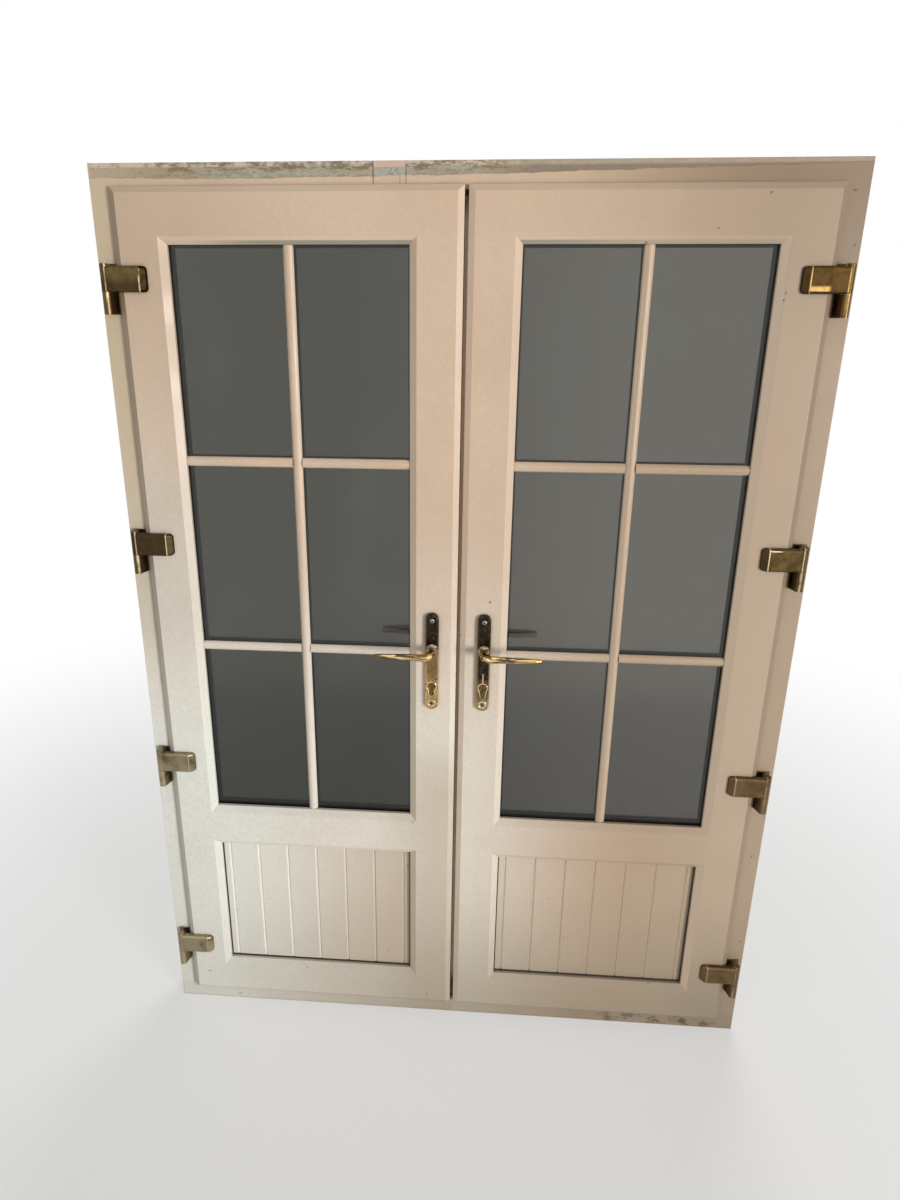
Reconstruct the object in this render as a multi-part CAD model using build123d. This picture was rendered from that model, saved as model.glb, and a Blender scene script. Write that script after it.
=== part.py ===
from build123d import *
import math
import os

# Pair of outward-opening french doors in their own plastic frame, in millimetres.
# +X runs to the right seen from outside, +Y into the room and +Z up.
# The origin is the middle of the sill's bottom face, halfway through the frame's depth.
# Sizes called u are measured from an edge inwards, across the face of a member.

# Outer frame
FRAME_WIDTH = 1500.0
FRAME_HEIGHT = 2100.0
FRAME_DEPTH = 70.0
FRAME_WALL = 51.0
STOP_LEG = 24.0
STOP_CHAMFER = 6.0
FRAME_EDGE_ROUND = 1.5
FIXING_HOLE_RADIUS = 4.0
FIXING_FROM_END = 150.0
FIXING_DEPTH_PLACE = -8.0

# Leaf profile
MEETING_GAP = 8.0
LAP_OVER_FRAME = 8.0
LAP = 20.0
LAP_GAP = 3.5
LEAF_PROUD = 18.0
LEAF_DEPTH = 70.0
LEAF_STOP_GAP = 4.0
LEAF_BEVEL_WIDTH = 12.5
LEAF_BEVEL_DEPTH = 8.0
STILE_TO_SEAT = 87.0
GLAZING_LEG = 20.0
GLAZING_BEVEL_WIDTH = 15.0
GLAZING_BEVEL_DEPTH = 11.0
GLAZING_LEG_DEPTH = 18.0
PROFILE_ROUND = 1.5
MID_RAIL_BOTTOM = 520.0
MID_RAIL_HEIGHT = 114.0

# Edge groove that takes the lock's faceplate and bars
LOCK_LINE = -9.0
GROOVE_WIDTH = 16.4
GROOVE_DEPTH = 3.0

# Sealed glass unit, panel, gaskets and beads
PANE = 4.0
UNIT_DEPTH = 24.0
GASKET = 3.0
GASKET_WIDTH = 6.0
GASKET_FROM_SIGHT = 1.0
PANEL_GASKET_SHOWS = 3.0
UNIT_EDGE_GAP = 5.0
SPACER_BAR = 9.0
SPACER_FROM_SIGHT = 1.0
PACKER_LENGTH = 100.0
PACKER_FROM_END = 60.0
BEAD_FLAT = 8.0
BEAD_NOSE = 4.0
BEAD_ROUND = 1.5
MITRE_JOINT = 0.2
SEAL_WIDTH = 5.0
SEAL_FROM_EDGE = 3.0
RUNNING_GAP = 0.3
PANEL_DEPTH = 24.0
BOARD_PITCH = 75.3
BOARD_COUNT = 6
VEE_WIDTH = 7.0
VEE_DEPTH = 3.0

# Glazing bars stuck on both faces of the glass
BAR_WIDTH = 21.0
BAR_PROUD = 9.0
BAR_EDGE = 3.0
BAR_ROWS = 3
BAR_CUT_GAP = 0.4

# Flag hinges
HINGE_FROM_EDGE = 21.0
HINGE_AXIS_PROUD = 22.0
HINGE_FIRST = 179.0
HINGE_LAST_FROM_TOP = 241.0
HINGE_COUNT = 4
BARREL_RADIUS = 9.0
FLAG_HEIGHT = 51.0
FLAG_LENGTH = 87.0
FLAG_SLOPE = 12.0
FLAG_TIP = 4.0
FLAG_ROUND = 5.0
FLAG_END_ROUND = 9.0
BARREL_RISE = 4.5
BARREL_SCOOP = 9.0
BARREL_CHAMFER = 1.0
BASE_HEIGHT = 43.0
BASE_OUTER = 11.0
BASE_INNER = 15.0
BASE_PLATE = 4.0
BASE_PLATE_RISE = 55.5
PIN_RADIUS = 4.0
PIN_REACH = 37.0
PIN_CLEARANCE = 0.08
KNUCKLE_GAP = 0.5

# Lever handles
SPINDLE_HEIGHT = 1091.0
BACKSET = 35.0
PLATE_WIDTH = 30.0
PLATE_ABOVE = 88.0
PLATE_BELOW = 152.0
PLATE_THICK = 10.0
PLATE_ROUND = 3.5
NECK_RADIUS = 9.0
NECK_CLEARANCE = 0.1
NECK_SEAT = 6.0
LEVER_LENGTH = 130.0
LEVER_PROUD = 52.0
LEVER_BEND = 18.0
LEVER_BEND_STEPS = 7
GRIP_SECTIONS = (
    (0.35, -0.3, 15.2, 15.0),
    (0.65, 0.0, 13.4, 12.4),
    (0.9, 1.5, 10.6, 9.0),
    (0.98, 3.0, 6.4, 5.6),
)
SPINDLE = 8.0
SPINDLE_BORE_RADIUS = 6.2
STILE_SPINDLE_RADIUS = 9.0
SCREW_ABOVE = 71.0
SCREW_BELOW = 135.0
SCREW_RADIUS = 2.5
SCREW_HEAD_RADIUS = 4.8
SCREW_HOLE_CLEARANCE = 0.4
SCREW_BITE = 7.0

# Key cylinder
CYLINDER_BELOW = 92.0
CYLINDER_RADIUS = 8.5
CYLINDER_TAIL_WIDTH = 10.0
CYLINDER_HEIGHT = 33.0
CYLINDER_PROUD = 1.5
CYLINDER_CLEARANCE = 0.3
KEYWAY_WIDTH = 1.6
KEYWAY_HEIGHT = 8.0
KEYWAY_DEPTH = 6.0

# Lock case, faceplate, latch and drive bar
CASE_THICK = 15.0
CASE_DEPTH = 45.0
CASE_ABOVE = 63.0
CASE_BELOW = 128.0
CASE_CLEARANCE = 0.5
FACEPLATE_WIDTH = 16.0
FACEPLATE_THICK = 3.0
FACEPLATE_FROM_END = 130.0
LATCH_ABOVE = 32.0
LATCH_HEIGHT = 30.0
LATCH_THICK = 8.0
LATCH_THROW = 11.0
LATCH_TRAVEL = 10.0
LATCH_LENGTH = 34.0
LATCH_NOSE = 1.5
DRIVE_WIDTH = 13.0
DRIVE_THICK = 2.5
DRIVE_TRAVEL = 18.0
DRIVE_FROM_END = 170.0
CAM_RADIUS = 5.0
CAM_PROUD = 8.5
CAM_FROM_END = 97.0

# Shoot bolts of the right leaf and their keeps
BOLT_THICK = 8.0
BOLT_WIDTH = 10.0
BOLT_TRAVEL = 24.0
BOLT_TIP_SET_BACK = 0.5
BOLT_POCKET_EXTRA = 3.0
KEEP_THICK = 1.5
KEEP_LENGTH = 60.0
KEEP_WIDTH = 24.0
KEEP_CLEARANCE = 0.5

# Floating mullion on the right leaf
MULLION_COVER_THICK = 10.0
MULLION_COVER_LAP = 16.0
MULLION_PASS_GAP = 0.8
MULLION_ROUND = 3.0

# Planes and rectangles that follow from the sizes
FRAME_FRONT = -FRAME_DEPTH / 2
FRAME_BACK = FRAME_DEPTH / 2
LEAF_FRONT = FRAME_FRONT - LEAF_PROUD
LEAF_BACK = LEAF_FRONT + LEAF_DEPTH
LAP_BACK = FRAME_FRONT - LAP_GAP
STOP_FRONT = LEAF_BACK + LEAF_STOP_GAP
FACE_SHOWING = FRAME_WALL - LAP_OVER_FRAME
FRAME_RECT = (-FRAME_WIDTH / 2, FRAME_WIDTH / 2, 0.0, FRAME_HEIGHT)
LEAF_RECT = (
    -FRAME_WIDTH / 2 + FACE_SHOWING,
    -MEETING_GAP / 2,
    FACE_SHOWING,
    FRAME_HEIGHT - FACE_SHOWING,
)
SIGHT_LINE = STILE_TO_SEAT + GLAZING_LEG
GLASS_OPENING = (
    LEAF_RECT[0] + SIGHT_LINE,
    LEAF_RECT[1] - SIGHT_LINE,
    MID_RAIL_BOTTOM + MID_RAIL_HEIGHT,
    LEAF_RECT[3] - SIGHT_LINE,
)
PANEL_OPENING = (
    LEAF_RECT[0] + SIGHT_LINE,
    LEAF_RECT[1] - SIGHT_LINE,
    LEAF_RECT[2] + SIGHT_LINE,
    MID_RAIL_BOTTOM,
)
LEG_BACK = LEAF_FRONT + GLAZING_LEG_DEPTH
UNIT_FRONT = LEG_BACK + GASKET
UNIT_BACK = UNIT_FRONT + UNIT_DEPTH
BEAD_FRONT = UNIT_BACK + GASKET
MEETING_EDGE = LEAF_RECT[1] - LAP
GROOVE_FLOOR = MEETING_EDGE - GROOVE_DEPTH
HANDLE_LINE = MEETING_EDGE - BACKSET
HINGE_LINE = -FRAME_WIDTH / 2 + HINGE_FROM_EDGE
HINGE_AXIS_DEPTH = FRAME_FRONT - HINGE_AXIS_PROUD
DRIVE_FRONT = MEETING_EDGE - FACEPLATE_THICK - RUNNING_GAP
DRIVE_BACK = DRIVE_FRONT - DRIVE_THICK
CASE_FRONT = DRIVE_BACK - RUNNING_GAP
LEAF_END_LOW = LEAF_RECT[2] + LAP
LEAF_END_HIGH = LEAF_RECT[3] - LAP


def grown(rect, by):
    """A rectangle with each side moved outwards by one distance."""
    x0, x1, z0, z1 = rect
    return (x0 - by, x1 + by, z0 - by, z1 + by)


def between(x, y, z):
    """A block from its lower and upper limit along each axis."""
    middle = ((x[0] + x[1]) / 2, (y[0] + y[1]) / 2, (z[0] + z[1]) / 2)
    return Pos(*middle) * Box(abs(x[1] - x[0]), abs(y[1] - y[0]), abs(z[1] - z[0]))


def section(points, rounds=()):
    """A profile's face across the X axis; rounds pairs a point's number with its radius."""
    face = make_face(Polyline([(0, y, u) for u, y in points], close=True))
    for number, radius in rounds:
        u, y = points[number]
        corner = face.vertices().sort_by_distance((0, y, u))[0]
        face = fillet(corner, radius)
    return face


def mitred_bars(points, rect, rounds=(), joint=0.0):
    """Four bars of one profile round a rectangle, each mitred at both ends."""
    x0, x1, z0, z1 = rect
    face = section(points, rounds)
    reach = max(u for u, _ in points) + 1.0
    x_mid = (x0 + x1) / 2
    z_mid = (z0 + z1) / 2
    sides = (
        (0, (x_mid, z0), x1 - x0),
        (-90, (x1, z_mid), z1 - z0),
        (180, (x_mid, z1), x1 - x0),
        (90, (x0, z_mid), z1 - z0),
    )
    bars = []
    for turn, (x, z), length in sides:
        half = (length - joint) / 2
        outline = [(-half, 0, 0), (half, 0, 0), (half - reach, 0, reach), (reach - half, 0, reach)]
        wedge = extrude(make_face(Polyline(outline, close=True)), FRAME_DEPTH * 2, (0, 1, 0), both=True)
        bar = extrude(face, length / 2, (1, 0, 0), both=True)
        bars.append(Location((x, 0, z), (0, turn, 0)) * (bar & wedge))
    return bars


def welded(points, rect, rounds=()):
    """The four mitred bars joined into one frame."""
    bars = mitred_bars(points, rect, rounds)
    return bars[0] + bars[1] + bars[2] + bars[3]


def mirrored(shape):
    """The same piece on the right leaf."""
    return mirror(shape, about=Plane.YZ)


# Outer frame

def fixing_heights():
    """Heights of the wall fixing holes in each jamb."""
    return (FIXING_FROM_END, FRAME_HEIGHT - FIXING_FROM_END)


def bolt_x():
    """Where the right leaf's shoot bolts run, from their face at the groove floor."""
    start = -GROOVE_FLOOR + RUNNING_GAP
    return (start, start + BOLT_THICK)


def bolt_slot(clearance, z):
    """The space that one shoot bolt passes through, between two heights."""
    x0, x1 = bolt_x()
    half = BOLT_WIDTH / 2 + clearance
    return between((x0 - clearance, x1 + clearance), (LOCK_LINE - half, LOCK_LINE + half), z)


def outer_frame():
    """Four members of one rebated profile, welded at the corners."""
    stop_edge = FRAME_WALL + STOP_LEG
    points = [
        (0, FRAME_FRONT),
        (FRAME_WALL, FRAME_FRONT),
        (FRAME_WALL, STOP_FRONT),
        (stop_edge, STOP_FRONT),
        (stop_edge, FRAME_BACK - STOP_CHAMFER),
        (stop_edge - STOP_CHAMFER, FRAME_BACK),
        (0, FRAME_BACK),
    ]
    frame = welded(points, FRAME_RECT, ((0, FRAME_EDGE_ROUND), (1, FRAME_EDGE_ROUND)))
    for side in (-1, 1):
        jamb = side * (FRAME_WIDTH - FRAME_WALL) / 2
        for height in fixing_heights():
            hole = Rot(0, 90, 0) * Cylinder(FIXING_HOLE_RADIUS, FRAME_WALL + 2)
            frame -= Pos(jamb, FIXING_DEPTH_PLACE, height) * hole
    pocket = BOLT_TRAVEL - LAP_OVER_FRAME - KEEP_CLEARANCE + BOLT_POCKET_EXTRA
    frame -= bolt_slot(KEEP_CLEARANCE, (FRAME_WALL - pocket, FRAME_WALL + 1))
    high = FRAME_HEIGHT - FRAME_WALL
    frame -= bolt_slot(KEEP_CLEARANCE, (high - 1, high + pocket))
    return frame


def bolt_keeps():
    """Steel plates on the sill and head rebates, where the shoot bolts enter."""
    x0, x1 = bolt_x()
    x_mid = (x0 + x1) / 2
    keeps = []
    for z0, z1 in (
        (FRAME_WALL, FRAME_WALL + KEEP_THICK),
        (FRAME_HEIGHT - FRAME_WALL - KEEP_THICK, FRAME_HEIGHT - FRAME_WALL),
    ):
        plate = Pos(x_mid, LOCK_LINE, z0) * extrude(SlotOverall(KEEP_LENGTH, KEEP_WIDTH), z1 - z0)
        keeps.append(plate - bolt_slot(KEEP_CLEARANCE, (z0 - 1, z1 + 1)))
    return Compound(keeps)


def frame_seal():
    """Black weather seal on the frame's stop, which the leaves close on."""
    u0 = FRAME_WALL + LAP
    points = [
        (u0 - SEAL_WIDTH, STOP_FRONT),
        (u0, STOP_FRONT),
        (u0, LEAF_BACK + RUNNING_GAP),
        (u0 - SEAL_WIDTH, LEAF_BACK + RUNNING_GAP),
    ]
    return welded(points, FRAME_RECT)


# Hinges, modelled on their own axis with the parting line at height 0 and the leaf towards +X

def hinge_base():
    """Lower knuckle with its block and plate on the frame's face."""
    plan = [
        (-BARREL_RADIUS, 0),
        (-BASE_OUTER, HINGE_AXIS_PROUD - BASE_PLATE),
        (-BASE_OUTER, HINGE_AXIS_PROUD),
        (BASE_INNER, HINGE_AXIS_PROUD),
        (BASE_INNER, HINGE_AXIS_PROUD - BASE_PLATE),
        (BARREL_RADIUS, 0),
    ]
    height = BASE_HEIGHT - KNUCKLE_GAP / 2
    web = Pos(0, 0, -BASE_HEIGHT) * extrude(make_face(Polyline(plan, close=True)), height)
    barrel = Pos(0, 0, -BASE_HEIGHT) * extrude(Circle(BARREL_RADIUS), height)
    plate = between(
        (-BASE_OUTER, BASE_INNER),
        (HINGE_AXIS_PROUD - BASE_PLATE, HINGE_AXIS_PROUD),
        (-BASE_HEIGHT, BASE_PLATE_RISE),
    )
    bore = Pos(0, 0, -PIN_REACH) * extrude(Circle(PIN_RADIUS), PIN_REACH)
    return web + barrel + plate - bore


def flag_scoop(back):
    """Concave web that falls from the taller barrel to the arm's top edge."""
    foot = FLAG_HEIGHT - FLAG_ROUND
    head = FLAG_HEIGHT + BARREL_RISE - BARREL_CHAMFER
    far = BARREL_RADIUS + BARREL_SCOOP
    low_point = (BARREL_RADIUS + BARREL_SCOOP / 3, 0, FLAG_HEIGHT + BARREL_RISE / 8)
    arc = ThreePointArc((far, 0, foot), low_point, (BARREL_RADIUS, 0, head))
    rest = Polyline([(BARREL_RADIUS, 0, head), (0, 0, head), (0, 0, foot), (far, 0, foot)])
    face = make_face([arc, rest])
    return extrude(face, BARREL_RADIUS - FLAG_ROUND, (0, -1, 0)) + extrude(face, back, (0, 1, 0))


def flag_outline(low):
    """Front view of the arm, with rounded corners at its far end."""
    height = FLAG_HEIGHT - low
    outline = Pos(FLAG_LENGTH / 2, low + height / 2) * Rectangle(FLAG_LENGTH, height)
    outline = fillet(outline.vertices().sort_by(Axis.X)[-2:], FLAG_END_ROUND)
    return extrude(Plane.XZ * outline, 2 * BARREL_RADIUS, both=True)


def flag_arm(low, back):
    """Arm on the leaf's face, with a sloped end and rounded front edges."""
    front = -BARREL_RADIUS
    plan = [
        (0, front),
        (FLAG_LENGTH - FLAG_SLOPE, front),
        (FLAG_LENGTH, back - FLAG_TIP),
        (FLAG_LENGTH, back),
        (0, back),
    ]
    arm = Pos(0, 0, low) * extrude(make_face(Polyline(plan, close=True)), FLAG_HEIGHT - low)
    arm = arm & flag_outline(low)
    rims = arm.faces().sort_by(Axis.Y)[0].edges().filter_by(Axis.X)
    for face in arm.faces():
        out = face.normal_at()
        if out.X > 0.2 and out.Y < -0.2:
            rims += face.edges().filter_by(lambda edge: abs(edge.tangent_at(0.5).Z) < 0.9)
    return fillet(rims, FLAG_ROUND)


def hinge_flag():
    """Upper knuckle with the flag arm that is screwed to the leaf's face."""
    low = KNUCKLE_GAP / 2
    back = LEAF_FRONT - HINGE_AXIS_DEPTH
    barrel = Pos(0, 0, low) * extrude(Circle(BARREL_RADIUS), FLAG_HEIGHT + BARREL_RISE - low)
    barrel = chamfer(barrel.edges().sort_by(Axis.Z)[-1], BARREL_CHAMFER)
    bore = Pos(0, 0, low) * extrude(Circle(PIN_RADIUS + PIN_CLEARANCE), PIN_REACH - low + RUNNING_GAP)
    return flag_arm(low, back) + barrel + flag_scoop(back) - bore


def hinge_places():
    """Parting line heights of the hinges, from the bottom up."""
    pitch = (FRAME_HEIGHT - HINGE_LAST_FROM_TOP - HINGE_FIRST) / (HINGE_COUNT - 1)
    return [HINGE_FIRST + pitch * number for number in range(HINGE_COUNT)]


def hinge_pins():
    """Steel pins, one for each hinge."""
    pin = extrude(Circle(PIN_RADIUS), PIN_REACH, both=True)
    pins = []
    for height in hinge_places():
        placed = Pos(HINGE_LINE, HINGE_AXIS_DEPTH, height) * pin
        pins.append(placed)
        pins.append(mirrored(placed))
    return Compound(pins)


# Leaves, modelled as the left one

def leaf_body():
    """Stiles, rails and the mid rail, welded, with a bevelled glazing leg round both openings."""
    groove_low = LOCK_LINE - GROOVE_WIDTH / 2
    groove_high = LOCK_LINE + GROOVE_WIDTH / 2
    points = [
        (0, LAP_BACK),
        (0, LEAF_FRONT + LEAF_BEVEL_DEPTH),
        (LEAF_BEVEL_WIDTH, LEAF_FRONT),
        (STILE_TO_SEAT, LEAF_FRONT),
        (STILE_TO_SEAT, LEAF_BACK),
        (LAP, LEAF_BACK),
        (LAP, groove_high),
        (LAP + GROOVE_DEPTH, groove_high),
        (LAP + GROOVE_DEPTH, groove_low),
        (LAP, groove_low),
        (LAP, LAP_BACK),
    ]
    leaf = welded(points, LEAF_RECT, ((1, PROFILE_ROUND), (2, PROFILE_ROUND), (5, PROFILE_ROUND)))
    leaf += between(
        (LEAF_RECT[0] + STILE_TO_SEAT, LEAF_RECT[1] - STILE_TO_SEAT),
        (LEAF_FRONT, LEAF_BACK),
        (MID_RAIL_BOTTOM + GLAZING_LEG, MID_RAIL_BOTTOM + MID_RAIL_HEIGHT - GLAZING_LEG),
    )
    leg = [
        (0, LEAF_FRONT),
        (GLAZING_LEG - GLAZING_BEVEL_WIDTH, LEAF_FRONT),
        (GLAZING_LEG, LEAF_FRONT + GLAZING_BEVEL_DEPTH),
        (GLAZING_LEG, LEG_BACK),
        (0, LEG_BACK),
    ]
    for opening in (GLASS_OPENING, PANEL_OPENING):
        leaf += welded(leg, grown(opening, GLAZING_LEG), ((1, PROFILE_ROUND), (2, PROFILE_ROUND)))
    return leaf


def euro_profile(clearance):
    """Outline of the key cylinder: a round barrel with a narrow tail below it."""
    radius = CYLINDER_RADIUS + clearance
    half = CYLINDER_TAIL_WIDTH / 2 + clearance
    tail_centre = -(CYLINDER_HEIGHT - CYLINDER_RADIUS - CYLINDER_TAIL_WIDTH / 2)
    tail = Pos(0, tail_centre / 2) * Rectangle(2 * half, -tail_centre)
    return Circle(radius) + tail + Pos(0, tail_centre) * Circle(half)


def through_leaf(sketch, height, front=LEAF_FRONT, back=LEAF_BACK):
    """A sketch on the handle line, extruded from one depth to another."""
    plane = Plane(origin=(HANDLE_LINE, front, height), x_dir=(1, 0, 0), z_dir=(0, 1, 0))
    flipped = Rot(0, 0, 180) * sketch
    return extrude(plane * flipped, back - front)


def screw_heights():
    """Heights of the two screws that clamp a pair of handle plates."""
    return (SPINDLE_HEIGHT + SCREW_ABOVE, SPINDLE_HEIGHT - SCREW_BELOW)


def case_limits():
    """Lower and upper end of the lock case."""
    return (SPINDLE_HEIGHT - CASE_BELOW, SPINDLE_HEIGHT + CASE_ABOVE)


def with_lock_cuts(leaf):
    """The leaf with its lock pocket and the holes for the spindle, cylinder and screws."""
    low, high = case_limits()
    half = CASE_THICK / 2 + CASE_CLEARANCE
    leaf -= between(
        (CASE_FRONT - CASE_DEPTH - CASE_CLEARANCE, MEETING_EDGE),
        (LOCK_LINE - half, LOCK_LINE + half),
        (low - CASE_CLEARANCE, high + CASE_CLEARANCE),
    )
    leaf -= through_leaf(Circle(STILE_SPINDLE_RADIUS), SPINDLE_HEIGHT)
    leaf -= through_leaf(euro_profile(3 * CYLINDER_CLEARANCE), SPINDLE_HEIGHT - CYLINDER_BELOW)
    for height in screw_heights():
        leaf -= through_leaf(Circle(SCREW_RADIUS + SCREW_HOLE_CLEARANCE), height)
    return leaf


def drive_limits():
    """Lower and upper end of the left leaf's drive bar at rest."""
    return (LEAF_END_LOW + DRIVE_FROM_END, LEAF_END_HIGH - DRIVE_FROM_END)


def cam_places():
    """Heights of the roller cams: one near each end of the bar and one halfway to the spindle."""
    low, high = drive_limits()
    first = low + CAM_FROM_END
    last = high - CAM_FROM_END
    return (first, (first + SPINDLE_HEIGHT) / 2, (SPINDLE_HEIGHT + last) / 2, last)


def left_leaf_frame():
    """Left leaf with the channel that its drive bar slides in."""
    low, high = drive_limits()
    half = DRIVE_WIDTH / 2 + RUNNING_GAP
    room = DRIVE_TRAVEL + RUNNING_GAP
    channel = between(
        (CASE_FRONT, GROOVE_FLOOR),
        (LOCK_LINE - half, LOCK_LINE + half),
        (low - room, high + room),
    )
    return with_lock_cuts(leaf_body()) - channel


def right_leaf_frame():
    """Right leaf with the channels of its shoot bolts."""
    leaf = mirrored(with_lock_cuts(leaf_body()))
    leaf -= bolt_slot(RUNNING_GAP, (LEAF_END_LOW - 1, SPINDLE_HEIGHT))
    leaf -= bolt_slot(RUNNING_GAP, (SPINDLE_HEIGHT, LEAF_END_HIGH + 1))
    return leaf


def unit_rect(opening):
    """Outer edge of the glass unit or panel behind an opening."""
    return grown(opening, GLAZING_LEG - UNIT_EDGE_GAP)


def pane(front):
    """One sheet of glass."""
    x0, x1, z0, z1 = unit_rect(GLASS_OPENING)
    return between((x0, x1), (front, front + PANE), (z0, z1))


def pane_spacer():
    """Black spacer bar and sealant that hold the two panes apart."""
    inner = GLAZING_LEG - UNIT_EDGE_GAP - SPACER_FROM_SIGHT
    outer = inner - SPACER_BAR
    front = UNIT_FRONT + PANE
    back = UNIT_BACK - PANE
    points = [(outer, front), (inner, front), (inner, back), (outer, back)]
    return welded(points, unit_rect(GLASS_OPENING))


def glazing_packers():
    """Plastic blocks under the glass unit, which carry its weight."""
    x0, x1, z0, _ = unit_rect(GLASS_OPENING)
    blocks = []
    for start in (x0 + PACKER_FROM_END, x1 - PACKER_FROM_END - PACKER_LENGTH):
        span = (start, start + PACKER_LENGTH)
        blocks.append(between(span, (UNIT_FRONT, UNIT_BACK), (z0 - UNIT_EDGE_GAP, z0)))
    return Compound(blocks)


def gaskets():
    """Lap seal behind the leaf's edge, and the glazing gaskets in front of and behind each infill."""
    seal = [
        (SEAL_FROM_EDGE, FRAME_FRONT - RUNNING_GAP),
        (SEAL_FROM_EDGE + SEAL_WIDTH, FRAME_FRONT - RUNNING_GAP),
        (SEAL_FROM_EDGE + SEAL_WIDTH, LAP_BACK),
        (SEAL_FROM_EDGE, LAP_BACK),
    ]
    rings = [welded(seal, LEAF_RECT)]
    hidden = GLAZING_LEG - GASKET_FROM_SIGHT
    shown = GLAZING_LEG + PANEL_GASKET_SHOWS
    outer = hidden - GASKET_WIDTH
    for opening, inner in ((GLASS_OPENING, hidden), (PANEL_OPENING, shown)):
        for front in (LEG_BACK, UNIT_BACK):
            points = [(outer, front), (inner, front), (inner, front + GASKET), (outer, front + GASKET)]
            rings.append(welded(points, grown(opening, GLAZING_LEG)))
    return Compound(rings)


def glazing_beads():
    """Clip-in beads on the room side, four mitred lengths round each opening."""
    points = [
        (0, BEAD_FRONT),
        (GLAZING_LEG, BEAD_FRONT),
        (GLAZING_LEG, BEAD_FRONT + BEAD_NOSE),
        (BEAD_FLAT, LEAF_BACK),
        (0, LEAF_BACK),
    ]
    rounds = ((2, BEAD_ROUND), (3, BEAD_ROUND))
    beads = []
    for opening in (GLASS_OPENING, PANEL_OPENING):
        beads += mitred_bars(points, grown(opening, GLAZING_LEG), rounds, MITRE_JOINT)
    return Compound(beads)


def lower_panel():
    """Panel with vee grooves on both faces, which divide it into boards."""
    x0, x1, z0, z1 = unit_rect(PANEL_OPENING)
    back = UNIT_FRONT + PANEL_DEPTH
    panel = between((x0, x1), (UNIT_FRONT, back), (z0, z1))
    x_mid = (x0 + x1) / 2
    for number in range(BOARD_COUNT + 1):
        x = x_mid + (number - BOARD_COUNT / 2) * BOARD_PITCH
        for face, depth in ((UNIT_FRONT, VEE_DEPTH), (back, -VEE_DEPTH)):
            left = (x - VEE_WIDTH / 2, face, z0)
            right = (x + VEE_WIDTH / 2, face, z0)
            corners = [left, (x, face + depth, z0), right]
            vee = make_face(Polyline(corners, close=True))
            panel -= extrude(vee, z1 - z0, (0, 0, 1))
    return panel


def bar_section(face, direction):
    """Rounded section of a glazing bar on a face of the glass, across the X axis."""
    half = BAR_WIDTH / 2
    edge = face + direction * BAR_EDGE
    top = face + direction * BAR_PROUD
    arc = ThreePointArc((0, edge, -half), (0, top, 0), (0, edge, half))
    base = Polyline([(0, edge, half), (0, face, half), (0, face, -half), (0, edge, -half)])
    return make_face([arc, base])


def glazing_bars():
    """One upright the full height of the glass and short cross bars cut to fit beside it."""
    x0, x1, z0, z1 = GLASS_OPENING
    x_mid = (x0 + x1) / 2
    z_mid = (z0 + z1) / 2
    row = (z1 - z0) / BAR_ROWS
    short = x_mid - x0 - BAR_WIDTH / 2 - 2 * BAR_CUT_GAP
    bars = []
    for face, direction in ((UNIT_FRONT, -1), (UNIT_BACK, 1)):
        profile = bar_section(face, direction)
        upright = extrude(profile, (z1 - z0) / 2 - BAR_CUT_GAP, (1, 0, 0), both=True)
        bars.append(Location((x_mid, 0, z_mid), (0, 90, 0)) * upright)
        for number in range(1, BAR_ROWS):
            for side in (-1, 1):
                x = x_mid + side * (BAR_WIDTH / 2 + BAR_CUT_GAP + short / 2)
                cross = extrude(profile, short / 2, (1, 0, 0), both=True)
                bars.append(Pos(x, 0, z0 + number * row) * cross)
    return Compound(bars)


# Handles and lock

def backplate():
    """Long handle plate on the outside face, with its holes."""
    height = PLATE_ABOVE + PLATE_BELOW
    middle = SPINDLE_HEIGHT + (PLATE_ABOVE - PLATE_BELOW) / 2
    outline = Rot(0, 0, 90) * SlotOverall(height, PLATE_WIDTH)
    plate = through_leaf(outline, middle, LEAF_FRONT - PLATE_THICK, LEAF_FRONT)
    plate = fillet(plate.faces().sort_by(Axis.Y)[0].edges(), PLATE_ROUND)
    front = LEAF_FRONT - PLATE_THICK - 1
    plate -= through_leaf(Circle(NECK_RADIUS + NECK_CLEARANCE), SPINDLE_HEIGHT, front, LEAF_FRONT)
    profile = euro_profile(CYLINDER_CLEARANCE)
    plate -= through_leaf(profile, SPINDLE_HEIGHT - CYLINDER_BELOW, front, LEAF_FRONT)
    return plate


def inner_from_outer(shape):
    """The same piece turned over onto the room side of the leaf."""
    middle = (LEAF_FRONT + LEAF_BACK) / 2
    return mirror(shape, about=Plane(origin=(0, middle, 0), x_dir=(1, 0, 0), z_dir=(0, 1, 0)))


def screw_shank(height, clearance):
    """One handle screw's shank, from the outside plate into the inside plate."""
    front = LEAF_FRONT - PLATE_THICK + SCREW_HEAD_RADIUS - SCREW_RADIUS
    return through_leaf(Circle(SCREW_RADIUS + clearance), height, front, LEAF_BACK + SCREW_BITE)


def screw_head(height):
    """Countersunk head that sits flush in the outside plate."""
    rim = LEAF_FRONT - PLATE_THICK
    depth = SCREW_HEAD_RADIUS - SCREW_RADIUS
    cone = Rot(-90, 0, 0) * Cone(SCREW_HEAD_RADIUS, SCREW_RADIUS, depth)
    return Pos(HANDLE_LINE, rim + depth / 2, height) * cone


def handle_screws():
    """The two long screws that clamp the plates together through the stile."""
    return Compound([screw_head(height) + screw_shank(height, 0) for height in screw_heights()])


def outer_backplate():
    """Outside plate with countersunk screw holes."""
    plate = backplate()
    for height in screw_heights():
        plate -= screw_head(height)
        plate -= through_leaf(Circle(SCREW_RADIUS), height, LEAF_FRONT - PLATE_THICK, LEAF_FRONT)
    return plate


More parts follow.
